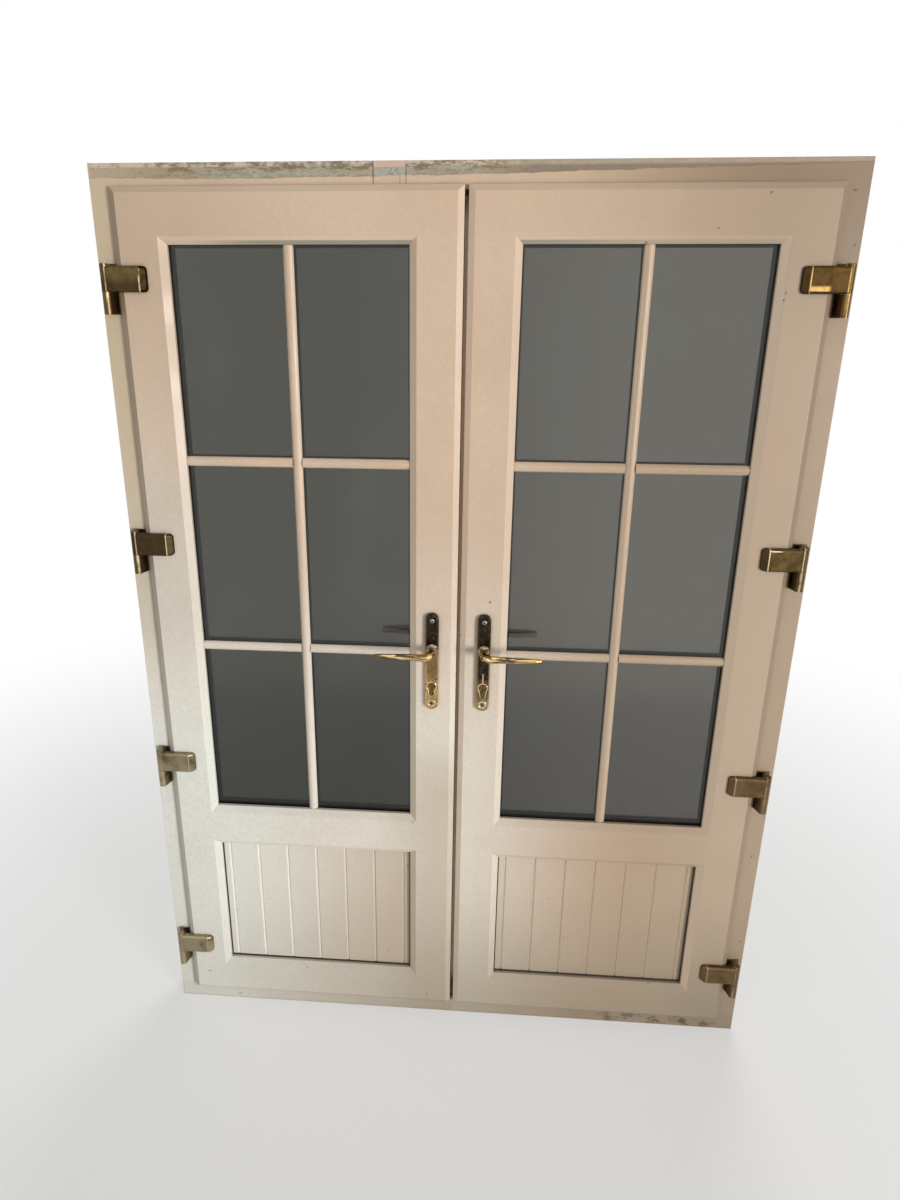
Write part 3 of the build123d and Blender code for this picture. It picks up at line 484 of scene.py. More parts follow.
def head_filler(finish, colours):
    """Where filler and dirt cover the head, their colour, and the painted shade line under them."""
    across, up = finish.across, finish.up
    left = finish.product(finish.sums("MINIMUM", finish.x, 0.0), 0.0096)
    right = finish.product(finish.largest(finish.x, 0.0), 0.022)
    wave = finish.wobble((34.0, 5.0), 0.007)
    edge = finish.plus(left, right, finish.plus(wave, across(-0.48, -0.72, 2.0745, 2.0800)))
    above = finish.minus(finish.z, edge)
    reach = finish.product(finish.front(), across(-0.750, -0.740))
    band = finish.product(finish.span(above, 0.0, 0.0010), reach)
    band = finish.largest(band, finish.sums("GREATER_THAN", finish.z, HEAD_TOP))
    whole = finish.patches((1.0, 5.0, (30.0, 30.0, 90.0), 0.6), 0.30, 0.38, 0.35, 0.95)
    patch = finish.product(across(-0.184, -0.180), across(-0.117, -0.121))
    upper = finish.product(up(2.080, 2.087, 0.35, 0.85), across(-0.63, -0.60))
    colour = finish.coats(
        (0.38, 0.305, 0.205),
        # Grey residue, more cream at the left end and along the top.
        (
            colours.residue,
            finish.patches((7.0, 5.0, None, 0.6), 0.40, 0.60),
            across(-0.56, -0.48),
            up(2.094, 2.088),
        ),
        ((0.46, 0.37, 0.255), across(-0.62, -0.70, 0.0, 0.8)),
        ((0.60, 0.50, 0.38), up(2.089, 2.094), finish.patches((60.0, 5.0), 0.36, 0.52)),
        # Olive stains and dark specks.
        ((0.165, 0.125, 0.070), finish.patches((1.0, 7.0, (30.0, 30.0, 95.0), 0.7), 0.47, 0.56), upper),
        ((0.085, 0.065, 0.040), finish.patches((1.0, 6.0, (170.0, 170.0, 240.0), 0.7), 0.56, 0.64), 0.65),
        # Dull right half.
        (
            finish.mix(up(2.088, 2.094), (0.235, 0.180, 0.130), (0.40, 0.32, 0.235)),
            across(0.0, 0.16, 0.0, 0.9),
        ),
        # Bluish patch with a cream top.
        ((0.37, 0.38, 0.33), patch, finish.patches((90.0, 4.0), 0.42, 0.50), up(2.090, 2.086)),
        ((0.60, 0.44, 0.35), patch, up(2.086, 2.090)),
    )
    # Painted shade along the lower edge of the filler.
    line = finish.span(finish.sums("ABSOLUTE", above), 0.0011, 0.0002)
    under = finish.product(line, reach, finish.patches((30.0, 3.0), 0.45, 0.60), 0.5)
    return finish.product(band, whole), colour, under


def frame_plastic(colours):
    """Plastic of the outer frame, with filler along its head and scuffs on its sill."""
    finish = Finish("cream_plastic_frame")
    across, up = finish.across, finish.up
    colour, dirt = aged_plastic(finish, colours, 0.62)
    band, filler, under = head_filler(finish, colours)
    colour = finish.coats(
        colour,
        # Left and right jamb, with painted shade on the right jamb and the head's right end.
        ((0.56, 0.455, 0.30), across(-0.40, -0.70, 0.0, 0.7), up(0.8, 1.6)),
        (
            finish.mix(up(1.7, 2.05), (0.285, 0.196, 0.118), (0.235, 0.160, 0.092)),
            across(0.12, 0.66),
            up(1.72, 2.0, 0.40, 0.92),
        ),
        # Sill, darker toward the right: dirt, and painted shade from the leaves.
        (
            (0.20, 0.145, 0.095),
            up(0.056, 0.040),
            finish.front(),
            across(-0.30, 0.62, 0.11, 0.36),
            finish.patches((9.0, 5.0), 0.25, 0.65, 0.4, 1.0),
        ),
        # Head.
        (filler, band),
        # Painted shade: a thin dark line under the filler's edge.
        (colours.grime_and_shade, under),
        # Scuffs at the right end of the sill.
        (
            (0.05, 0.038, 0.028),
            across(0.30, 0.45),
            across(0.755, 0.70),
            up(0.002, 0.010, 0.6, 1.0),
            up(0.050, 0.040),
            finish.patches((1.0, 8.0, (20.0, 20.0, 40.0), 0.78), 0.49, 0.60),
            finish.front(),
            0.85,
        ),
    )
    colour = marked(finish, colour, FRAME_MARKS, (0.05, 0.038, 0.028))
    crust = finish.product(band, finish.noise(220.0, 6.0, None, 0.7))
    rough = finish.gloss(14.0, 3.0, 0.38, 0.50)
    rough = finish.largest(rough, finish.product(band, 0.85), finish.product(dirt, 0.8))
    return finish.done(colour, rough, finish.bump(crust, 0.0014, plastic_surface(finish)))


def bevel_light_and_shade(finish, colour):
    """Painted light and shade on a leaf's bevels: painted shade along its outer edges, its foot and under the
    top rail's lip, and painted light on the shaded sides and undersides of its openings.
    """
    across, up = finish.across, finish.up
    sideways, _, upwards = finish.parts(finish.normal())
    left = finish.span(sideways, -0.3, -0.6)
    below = finish.span(upwards, -0.3, -0.6)
    return finish.coats(
        colour,
        # Painted shade on the outer edges: left, right and top.
        ((0.24, 0.165, 0.105), left, across(-0.688, -0.694), up(0.4, 1.9, 0.45, 0.72)),
        ((0.19, 0.130, 0.080), finish.span(sideways, 0.3, 0.6), across(0.688, 0.694), 0.85),
        ((0.36, 0.26, 0.17), finish.span(upwards, 0.3, 0.6), up(2.030, 2.036), 0.25),
        # Painted light on the right sides of the openings, and a painted shadow line at the foot of the leaf.
        ((0.78, 0.62, 0.46), left, across(-0.69, -0.68), across(-0.3, 0.5, 0.45, 0.90)),
        ((0.17, 0.125, 0.085), up(0.0485, 0.0445), across(-0.7, 0.0, 0.45, 0.75)),
        # Painted light on the undersides above the glass, and painted shade under the lip of the top rail.
        ((0.85, 0.67, 0.51), below, up(1.4, 1.6), across(-0.2, 0.5, 0.42, 0.25)),
        (
            (0.315, 0.285, 0.215),
            below,
            up(1.9585, 1.9565),
            up(1.8, 1.9),
            across(-0.58, -0.40, 0.15, 1.0),
            across(0.1, 0.4, 0.95, 0.45),
        ),
    )


def leaf_plastic(colours):
    """Plastic of the leaves, their beads and their bars."""
    finish = Finish("cream_plastic_leaf")
    colour, dirt = aged_plastic(finish, colours, 0.50)
    weld = weld_lines(finish)
    colour = bevel_light_and_shade(finish, finish.coats(colour, (colours.grime_and_shade, weld, 0.10)))
    colour = marked(finish, colour, LEAF_MARKS)
    rough = finish.largest(finish.gloss(11.0, 3.0, 0.36, 0.48), finish.product(dirt, 0.8))
    groove = finish.bump(finish.minus(1.0, weld), 0.0001, plastic_surface(finish))
    return finish.done(colour, rough, groove)


def panel_plastic(colours):
    """Plastic of the boarded panels, paler in the grooves of the left one, with painted light and shade on
    the sides of the right one's grooves.
    """
    finish = Finish("cream_plastic_panel")
    across = finish.across
    colour, _ = aged_plastic(finish, colours, 0.0)
    groove = finish.span(finish.crevice(0.008), 0.97, 0.60, 0.0, 1.0)
    sideways = finish.parts(finish.normal())[0]
    colour = finish.coats(
        colour,
        ((0.47, 0.355, 0.245), across(-0.45, -0.16, 0.0, 0.50), across(0.1, 0.0)),
        ((0.88, 0.83, 0.74), groove, across(-0.15, -0.50, 0.0, 0.9)),
        # Sides of the grooves: painted light on the shaded left-facing sides, painted shade on the lit
        # right-facing sides.
        (
            (0.80, 0.655, 0.48),
            finish.span(sideways, -0.3, -0.5),
            finish.front(),
            across(-0.16, 0.05, 0.0, 0.85),
        ),
        (
            (0.33, 0.265, 0.185),
            finish.span(sideways, 0.3, 0.5),
            finish.front(),
            across(-0.10, 0.05, 0.0, 0.55),
        ),
    )
    colour = marked(finish, colour, PANEL_MARKS, (0.16, 0.12, 0.08))
    return finish.done(colour, finish.gloss(11.0, 3.0, 0.38, 0.50), plastic_surface(finish))


def mullion_plastic(colours):
    """Plastic behind the meeting gap, brown with dirt, nearly black at its ends and clean indoors."""
    finish = Finish("cream_plastic_mullion")
    ends = finish.largest(finish.up(0.150, 0.105), finish.up(1.99, 2.03, 0.0, 0.8))
    clean, _ = aged_plastic(finish, colours, 0.4)
    colour = finish.coats(
        colours.plastic_worn,
        ((0.40, 0.315, 0.220), finish.patches((14.0, 5.0, (1.0, 1.0, 0.4), 0.6), 0.30, 0.70, 0.10, 0.45)),
        ((0.035, 0.026, 0.018), ends),
        (colours.grime_and_shade, finish.patches((140.0, 5.0, None, 0.7), 0.55, 0.70, 0.0, 0.6)),
        (clean, finish.span(finish.y, -0.012, 0.002)),
    )
    return finish.done(colour, finish.gloss(20.0, 3.0, 0.5, 0.7), plastic_surface(finish))


def patchy(name, base, patches, tint, gloss, grain, metal=0.0):
    """A small part's finish: patches of one colour on another, uneven gloss and a fine grain."""
    finish = Finish(name)
    colour = finish.coats(base, (tint, finish.patches(*patches)))
    return finish.done(colour, finish.gloss(*gloss), finish.grain(*grain), metal)


def rubber(colours):
    """Black rubber with a little dust."""
    dust = ((60.0, 5.0, None, 0.65), 0.5, 0.8, 0.0, 0.35)
    gloss, grain = (30.0, 3.0, 0.55, 0.8), ((900.0, 2.0), 0.00005)
    return patchy("black_rubber", colours.rubber, dust, (0.16, 0.14, 0.11), gloss, grain)


def spacer_black(colours):
    """Satin black bar between the panes."""
    dust = ((90.0, 4.0), 0.45, 0.75, 0.0, 0.3)
    gloss, grain = (40.0, 2.0, 0.4, 0.6), ((700.0, 2.0), 0.00004)
    return patchy("black_spacer", colours.spacer, dust, (0.05, 0.05, 0.05), gloss, grain)


def packer_plastic(colours):
    """Moulded green packers."""
    finish = Finish("packer_plastic")
    colour = finish.coats((0.05, 0.16, 0.07), ((0.08, 0.20, 0.10), finish.patches((50.0, 3.0), 0.4, 0.7)))
    return finish.done(colour, 0.5, finish.grain((500.0, 2.0), 0.00005))


def glass(colours):
    """Pane with faint smears, lighter on the right with a painted reflection, and darker low down."""
    finish = Finish("glass")
    smear = finish.patches((3.2, 5.0, (1.0, 1.0, 0.45), 0.62), 0.50, 0.78, 0.0, 0.5)
    colour = finish.coats(
        colours.glass,
        # Painted reflection: a lighter tint toward the right.
        ((0.350, 0.340, 0.315), finish.across(-0.3, 0.4, 0.0, 0.9)),
        ((0.33, 0.34, 0.32), smear),
        ((0.19, 0.195, 0.185), finish.up(1.02, 0.92, 0.0, 0.5), finish.left(0.35, 1.0)),
    )
    return finish.done(colour, 0.0, Transmission_Weight=1.0, IOR=1.5)


def top_hinge(finish):
    """1 on the upper hinge of a side, and 0 on those below."""
    return finish.up(1.6, 1.7)


def hinge_colour(finish, colours):
    """Brass with brown patches and dark flecks, a shade of its own on some hinges."""
    second = finish.span(finish.within(finish.z, 1.32, 0.20), -0.1, 0.0)
    return finish.coats(
        colours.hinge,
        ((0.110, 0.070, 0.027), finish.right(), 0.6),
        ((0.072, 0.039, 0.011), finish.right(), top_hinge(finish)),
        ((0.050, 0.032, 0.016), second, finish.left(), 0.85),
        ((0.045, 0.029, 0.012), finish.patches((42.0, 5.0, None, 0.62), 0.42, 0.62), 0.65),
        (colours.tarnish, finish.patches((260.0, 5.0, None, 0.7), 0.50, 0.70), 0.5),
        ((0.20, 0.155, 0.075), finish.patches((330.0, 4.0, None, 0.7), 0.60, 0.70, 0.0, 0.35)),
    )


def knuckle_glint(finish, half):
    """A painted highlight down the front of each knuckle, and painted dark reflection beside it."""
    aside = finish.aside()
    is_right = finish.sums("GREATER_THAN", finish.x, 0.0)
    line = finish.mix(is_right, (LEFT_KNUCKLE_GLINT,) * 3, (RIGHT_KNUCKLE_GLINT,) * 3)
    off = finish.away(aside, line)
    proud = finish.span(finish.y, -0.056, -0.060)
    broken = finish.patches((1.0, 3.0, (40.0, 40.0, 26.0)), 0.36, 0.52, 0.25, 1.0)
    bright = finish.product(finish.span(off, half, half * 0.25), proud, broken)
    dark = finish.product(finish.span(off, 0.0075, 0.0030), proud, finish.span(aside, 0.7215, 0.7230))
    return bright, dark


def hinge_surface(finish, colour, bright):
    """Satin metal, greyer and duller on the low hinges, and pale and polished where it is worn, and where a
    highlight is painted.
    """
    low = finish.product(finish.up(0.95, 0.70, 0.0, 0.75), finish.patches((20.0, 4.0), 0.25, 0.55))
    dusty = finish.mix(finish.right(), (0.42, 0.362, 0.235), (0.190, 0.120, 0.062))
    pale = finish.mix(finish.right(), (0.66, 0.52, 0.34), (0.62, 0.50, 0.30))
    pale = finish.coats(pale, ((0.40, 0.25, 0.09), finish.right(), top_hinge(finish)))
    colour = finish.coats(colour, (dusty, low), (pale, bright, finish.span(low, 0.0, 0.75, 1.0, 0.45)))
    rough = finish.largest(finish.gloss(70.0, 4.0, 0.24, 0.40), finish.product(low, 0.55))
    return finish.done(colour, rough, finish.grain((500.0, 3.0), 0.00005), 1.0)


def hinge_brass(colours):
    """Hinge arms, gone olive brown, with painted shade on one arm's lower half and on the sloped ends, and
    painted highlights where they bend to their sloped end, down the knuckles and along two right arms.
    """
    finish = Finish("hinge_brass")
    span, aside = finish.span, finish.aside()
    height = finish.sums("MODULO", finish.minus(finish.z, LOWEST_ARM), ARM_SPACING)
    left, top = finish.left(), top_hinge(finish)
    bright, dark = knuckle_glint(finish, 0.0019)
    # Painted shade over the lower half of an arm.
    below = finish.product(span(height, 0.034, 0.012, 0.0, 0.68), span(height, 0.002, 0.007, 0.5, 1.0))
    # The sloped end, painted dark as shade.
    lip = span(aside, 0.6546, 0.6530)
    colour = finish.coats(
        hinge_colour(finish, colours),
        # Painted shade on the lower half of the first left arm.
        ((0.026, 0.018, 0.006), below, left, top),
        # Painted dark reflection beside the knuckle highlight.
        ((0.040, 0.026, 0.010), dark, 0.6),
        # Painted shade on the sloped ends, darkest on the first left arm.
        ((0.036, 0.024, 0.013), lip, finish.right(0.4, 0.60)),
        ((0.0062, 0.0040, 0.0018), lip, left, top),
    )
    # Painted highlight down the line where the arm turns to its sloped end.
    bend = finish.product(
        span(finish.away(aside, ARM_BEND), 0.0016, 0.0007),
        finish.patches((48.0, 3.0), 0.22, 0.40),
        finish.minus(1.0, finish.product(left, top, span(height, 0.026, 0.036))),
    )
    worn = finish.product(finish.edge(0.0016), finish.patches((120.0, 3.0), 0.35, 0.6), 0.25)
    # Painted highlights along the foot of the first right arm and at the top of the second.
    strip = finish.product(
        finish.across(0.6560, 0.6580),
        finish.across(0.6970, 0.6880),
        span(height, 0.0042, 0.0060),
        span(height, 0.0165, 0.0110),
        top,
    )
    strip = finish.largest(strip, finish.spots((ARM_HIGHLIGHT_SPOT,), 0.0))
    return hinge_surface(finish, colour, finish.largest(worn, bend, finish.product(bright, 0.75), strip))


def base_brass(colours):
    """Hinge bases, with warmer brass on the upper ones and olive on the left side's second."""
    finish = Finish("hinge_base_brass")
    # Painted highlight down the knuckle, and painted dark reflection beside it.
    bright, dark = knuckle_glint(finish, 0.0034)
    colour = finish.coats(
        hinge_colour(finish, colours),
        ((0.17, 0.100, 0.038), finish.up(1.55, 1.75, 0.25, 0.6)),
        ((0.125, 0.100, 0.038), finish.up(1.20, 1.25), finish.up(1.55, 1.50), finish.left(), 0.8),
        ((0.040, 0.026, 0.010), dark, 0.75),
    )
    worn = finish.product(finish.edge(0.0016), 0.25)
    return hinge_surface(finish, colour, finish.largest(worn, finish.product(bright, 0.75)))


def plate_brass(colours):
    """Handle plate: a black film above, brown in the middle, polished below, with a painted highlight along
    its edges.
    """
    finish = Finish("plate_brass")
    across, span = finish.across, finish.span
    height = finish.plus(
        finish.z, across(-0.01, 0.01, 0.0, 0.05), finish.wobble((70.0, 5.0, None, 0.62), 0.05)
    )
    gold = finish.mix(across(-0.01, 0.01, 0.0, 0.6), (0.50, 0.33, 0.125), (0.30, 0.265, 0.185))
    umber = finish.mix(across(-0.01, 0.01), (0.24, 0.145, 0.062), (0.13, 0.078, 0.040))
    film = span(finish.plus(height, across(-0.01, 0.01, 0.0, 0.013)), 1.075, 1.090)
    beside = finish.away(finish.aside(), HANDLE_LINE)
    colour = finish.coats(
        gold,
        (umber, span(height, 1.006, 1.030)),
        (colours.tarnish, film),
        # Painted highlight along the rim, low down and strongest on the left plate's left edge.
        (
            (0.80, 0.56, 0.25),
            span(beside, 0.0112, 0.0128),
            finish.up(1.10, 1.07, 0.1, 0.6),
            across(-0.0565, -0.0640, 0.45, 1.0),
        ),
        # Stains, pale scratches, and a bright streak down the right plate.
        ((0.10, 0.062, 0.028), finish.patches((150.0, 5.0, None, 0.68), 0.50, 0.64, 0.0, 0.75)),
        ((0.42, 0.36, 0.26), finish.patches((210.0, 4.0, None, 0.7), 0.60, 0.70, 0.0, 0.35)),
        (
            (0.85, 0.75, 0.55),
            span(beside, 0.0012, 0.0005),
            across(0.0, 0.01),
            span(finish.within(finish.z, 1.022, 0.015), 0.0, 0.004),
        ),
    )
    return finish.done(colour, finish.gloss(80.0, 4.0, 0.18, 0.32), finish.grain((160.0, 3.0), 0.00006), 1.0)


def lever_brass(colours):
    """Polished brass with painted dark reflections and tarnish, and painted bright reflections, along the
    grip, and a neck painted a dull brown reflection.
    """
    finish = Finish("lever_brass")
    neck = finish.product(
        finish.span(finish.y, -0.094, -0.080),
        finish.patches((95.0, 4.0, None, 0.6), 0.36, 0.56, 0.35, 0.9),
    )
    colour = finish.coats(
        colours.handle,
        # Painted dark reflections, with tarnish, along the grip.
        ((0.060, 0.036, 0.016), finish.patches((1.0, 3.0, (14.0, 80.0, 200.0), 0.55), 0.45, 0.54, 0.0, 0.92)),
        # Painted dull brown reflection on the neck.
        ((0.200, 0.125, 0.070), neck),
        # Painted bright reflections along the grip.
        ((0.93, 0.74, 0.46), finish.patches((1.0, 3.0, (30.0, 120.0, 260.0), 0.6), 0.54, 0.64, 0.0, 0.75)),
    )
    metal = finish.minus(1.0, finish.product(neck, 0.5))
    return finish.done(colour, finish.gloss(80.0, 4.0, 0.08, 0.18), finish.grain((90.0, 3.0), 0.00008), metal)


def recess_dirt_and_shade(colours):
    """Dirt and painted shade in the recess of a screw head."""
    finish = Finish("recess_dirt_and_shade")
    colour = finish.mix(finish.noise(700.0, 3.0), (0.012, 0.010, 0.008), (0.05, 0.042, 0.032))
    return finish.done(colour, finish.gloss(300.0, 2.0, 0.6, 0.8), finish.grain((900.0, 2.0), 0.00004))


def bead_brass(colours):
    """Bright brass of the raised beads round the cylinder and the lower screw."""
    dirt = ((230.0, 4.0, None, 0.66), 0.52, 0.66, 0.0, 0.6)
    gloss, grain = (90.0, 4.0, 0.14, 0.26), ((300.0, 2.0), 0.00004)
    return patchy("bead_brass", (0.88, 0.70, 0.40), dirt, (0.20, 0.13, 0.06), gloss, grain, 1.0)


def cylinder_brass(colours):
    """Satin brass of the key cylinder, with dirt in patches."""
    dirt = ((190.0, 5.0, None, 0.66), 0.46, 0.62, 0.0, 0.8)
    gloss, grain = (90.0, 4.0, 0.25, 0.40), ((300.0, 2.0), 0.00004)
    return patchy("cylinder_brass", (0.20, 0.14, 0.065), dirt, colours.tarnish, gloss, grain, 1.0)


def steel(colours):
    """Zinc plated steel with a fine grain and dull patches."""
    dull = ((45.0, 5.0, None, 0.6), 0.40, 0.70, 0.0, 0.5)
    gloss, grain = (90.0, 4.0, 0.28, 0.45), ((800.0, 2.0, (1.0, 1.0, 0.1)), 0.00003)
    return patchy("zinc_steel", colours.steel, dull, (0.34, 0.33, 0.30), gloss, grain, 1.0)


def screw_steel(colours):
    """Dull steel of the upper screw heads."""
    dull = ((300.0, 4.0, None, 0.6), 0.40, 0.62, 0.0, 0.8)
    gloss, grain = (90.0, 4.0, 0.28, 0.45), ((800.0, 2.0), 0.00003)
    return patchy("screw_steel", (0.42, 0.42, 0.41), dull, (0.10, 0.09, 0.08), gloss, grain, 1.0)


def named(material_function, colours):
    """A finish, made once."""
    key = material_function.__name__
    if key not in FINISHES:
        FINISHES[key] = material_function(colours)
    return FINISHES[key]


def paint(node, material):
    """Gives one CAD node its finish."""
    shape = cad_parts[node]
    shape.data.materials.clear()
    shape.data.materials.append(material)


def linked(name, data):
    """A new object in the scene."""
    made = bpy.data.objects.new(name, data)
    bpy.context.scene.collection.objects.link(made)
    return made


def ridden(name, corners, faces, material, body):
    """A piece made from corners and faces in the doors' own frame, which moves with one body."""
    mesh = bpy.data.meshes.new(name)
    mesh.from_pydata(corners, [], faces)
    mesh.update()
    for face in mesh.polygons:
        face.use_smooth = True
    mesh.materials.append(material)
    piece = linked(name, mesh)
    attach(piece, body)


def arc(centre, radius, start, end, steps):
    """Points on an arc, in degrees."""
    turns = [math.radians(start + (end - start) * step / steps) for step in range(steps + 1)]
    return [(centre[0] + radius * math.cos(turn), centre[1] + radius * math.sin(turn)) for turn in turns]


def rings(centre, profile, steps):
    """Corners of rings about a centre, from the radius and depth of each."""
    corners = []
    for radius, depth in profile:
        for x, z in arc(centre, radius, 0, 360 - 360 / steps, steps - 1):
            corners.append((x, depth, z))
    return corners


def band(start, follow, count, inward=False):
    """Faces between two rings of corners, from the number of each ring's first corner."""
    faces = []
    for step in range(count):
        beside = (step + 1) % count
        first, *others = (start + step, follow + step, follow + beside, start + beside)
        faces.append((first, *(reversed(others) if inward else others)))
    return faces


def meeting_seal():
    """Corners and faces of the soft seal in the meeting gap."""
    tip = arc((-0.0062, 0.0131), 0.0022, -60, 60, 6)
    section = [(-0.0240, 0.0150), (-0.0240, 0.0112), *tip, (-0.0100, 0.0146)]
    count = len(section)
    corners = [(x, y, z) for z in (SEAL_FOOT, SEAL_TOP) for x, y in section]
    sides = band(0, count, count, inward=True)
    return corners, [*sides, tuple(reversed(range(count))), tuple(range(count, 2 * count))]


def sealant_line(low, high):
    """Corners and faces of the black sealant that shows on the inner pane, inside the spacer bar."""
    section = (
        (SEALANT_BEHIND, 0.0),
        (SEALANT_SHOWN, 0.0),
        (SEALANT_SHOWN, SEALANT_THICK),
        (SEALANT_BEHIND, SEALANT_THICK),
    )
    corners, faces = [], []
    for ring, (inset, depth) in enumerate(section):
        y = low[1] - depth
        x0, x1 = low[0] + inset, high[0] - inset
        z0, z1 = low[2] + inset, high[2] - inset
        corners += [(x0, y, z0), (x1, y, z0), (x1, y, z1), (x0, y, z1)]
        faces += band(4 * ring, 4 * ((ring + 1) % 4), 4)
    return corners, faces


def bead(path, steps=6):
    """Corners and faces of a rounded bead that stands on a plate, along a closed (x, z) path."""
    corners, faces = [], []
    count, ring = len(path), steps + 1
    for place, (x, z) in enumerate(path):
        follow = (place + 1) % count
        along = (Vector(path[follow]) - Vector(path[place - 1])).normalized()
        for step in range(ring):
            turn = math.pi * step / steps
            aside = BEAD_WIDTH / 2 * math.cos(turn)
            depth = PLATE_FACE + SUNK - (BEAD_RISE + SUNK) * math.sin(turn)
            corners.append((x + along.y * aside, depth, z - along.x * aside))
        faces += band(place * ring, follow * ring, ring, inward=True)
    return corners, faces


def dome(centre, steps=24, count=6):
    """Corners and faces of a low rounded screw head on a plate."""
    profile = []
    for ring in range(1, count + 1):
        lean = math.pi / 2 * ring / count
        depth = PLATE_FACE + SUNK - (SCREW_RISE + SUNK) * math.cos(lean)
        profile.append((SCREW_RADIUS * math.sin(lean), depth))
    corners = [(centre[0], PLATE_FACE - SCREW_RISE, centre[1]), *rings(centre, profile, steps)]
    faces = [(0, 1 + (step + 1) % steps, 1 + step) for step in range(steps)]
    last = 1 + (count - 1) * steps
    for start in range(1, last, steps):
        faces += band(start, start + steps, steps, inward=True)
    return corners, [*faces, tuple(range(last, last + steps))]


def collar(centre, steps=48):
    """Corners and faces of the bell round a lever's neck, where it leaves the plate."""
    profile = [(radius, PLATE_FACE + depth) for radius, depth in COLLAR_PROFILE]
    faces = []
    for ring in range(len(profile)):
        faces += band(ring * steps, (ring + 1) % len(profile) * steps, steps)
    return rings(centre, profile, steps), faces


def cross(centre, turn):
    """Corners and faces of the cross-shaped recess of a screw, as a dark inlay of dirt and painted shade."""
    outline = []
    for quarter in range(4):
        side = turn + math.pi / 2 * quarter
        for along, aside in (
            (RECESS_HALF, -RECESS_HALF),
            (RECESS_REACH, -RECESS_HALF),
            (RECESS_REACH, RECESS_HALF),
        ):
            x = along * math.cos(side) - aside * math.sin(side)
            z = along * math.sin(side) + aside * math.cos(side)
            outline.append((centre[0] + x, centre[1] + z))
    count = len(outline)
    corners = [(x, depth, z) for depth in RECESS_DEPTHS for x, z in outline]
    sides = band(0, count, count)
    return corners, [*sides, tuple(range(count)), tuple(reversed(range(count, 2 * count)))]


def plate_details(line):
    """Name, shape and finish of each small piece on the outer face of a handle plate."""
    head = arc((line, CYLINDER_HEIGHT), 0.0108, -38, 218, 26)
    tail = arc((line, CYLINDER_TAIL_HEIGHT), 0.0068, 205, 335, 12)
    yield "cylinder_bead", bead([*head, *tail]), bead_brass
    yield "screw_bead", bead(arc((line, LOWER_SCREW_HEIGHT), 0.0082, 0, 345, 23)), bead_brass
    yield "lever_collar", collar((line, SPINDLE_HEIGHT)), lever_brass
    for name, height, metal, turn in (
        ("upper_screw", UPPER_SCREW_HEIGHT, screw_steel, 0.5),
        ("lower_screw", LOWER_SCREW_HEIGHT, cylinder_brass, 0.2),
    ):
        yield f"{name}_head", dome((line, height)), metal
        yield f"{name}_recess", cross((line, height), turn), recess_dirt_and_shade


class DOORS_OT_plastic(bpy.types.Operator):
    """Finish the frame, the leaves, the panels, beads and bars"""

    bl_idname = "doors.plastic"
    bl_label = "Plastic"

    def execute(self, context):
        colours = context.scene.door_colours
        leaf = named(leaf_plastic, colours)
        paint("outer_frame", named(frame_plastic, colours))
        paint("floating_mullion", named(mullion_plastic, colours))
        for side in SIDES:
            paint(f"{side}_lower_panel", named(panel_plastic, colours))
            for piece in ("leaf_frame", "glazing_beads", "glazing_bars"):
                paint(f"{side}_{piece}", leaf)
            paint(f"{side}_glazing_packers", named(packer_plastic, colours))
        return {"FINISHED"}


class DOORS_OT_glazing(bpy.types.Operator):
    """Finish the panes, spacer bars and seals"""

    bl_idname = "doors.glazing"
    bl_label = "Glass and Seals"

    def execute(self, context):
        colours = context.scene.door_colours
        paint("frame_seal", named(rubber, colours))
        for side in SIDES:
            paint(f"{side}_outer_pane", named(glass, colours))
            paint(f"{side}_inner_pane", named(glass, colours))
            paint(f"{side}_pane_spacer", named(spacer_black, colours))
            paint(f"{side}_gaskets", named(rubber, colours))
            shape = sealant_line(*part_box(f"{side}_inner_pane"))
            ridden(f"{side}_sealant_line", *shape, named(spacer_black, colours), f"{side}_leaf")
        ridden("meeting_seal", *meeting_seal(), named(rubber, colours), "left_leaf")
        return {"FINISHED"}


class DOORS_OT_hinges(bpy.types.Operator):
    """Finish the hinges"""

    bl_idname = "doors.hinges"
    bl_label = "Hinges"

    def execute(self, context):
        colours = context.scene.door_colours
        paint("hinge_pins", named(steel, colours))
        for side in SIDES:
            for number in HINGES:
                paint(f"{side}_hinge_flag_{number}", named(hinge_brass, colours))
                paint(f"{side}_hinge_base_{number}", named(base_brass, colours))
        return {"FINISHED"}


class DOORS_OT_handles(bpy.types.Operator):
    """Finish the handles, cylinders and locks"""

    bl_idname = "doors.handles"
    bl_label = "Handles and Locks"

    def execute(self, context):
        colours = context.scene.door_colours
        for side in SIDES:
            for place in ("outer", "inner"):
                paint(f"{side}_{place}_backplate", named(plate_brass, colours))
                paint(f"{side}_{place}_lever", named(lever_brass, colours))
            paint(f"{side}_key_cylinder", named(cylinder_brass, colours))
            for piece in ("handle_screws", "spindle", "lock_case"):
                paint(f"{side}_{piece}", named(steel, colours))
        bolts = ("left_latch_bolt", "left_drive_rail", "right_top_bolt", "right_bottom_bolt")
        for node in ("bolt_keeps", "left_faceplate", *bolts):
            paint(node, named(steel, colours))
        for side, line in zip(SIDES, (-HANDLE_LINE, HANDLE_LINE)):
            for name, shape, metal in plate_details(line):
                ridden(f"{side}_{name}", *shape, named(metal, colours), f"{side}_leaf")
        return {"FINISHED"}


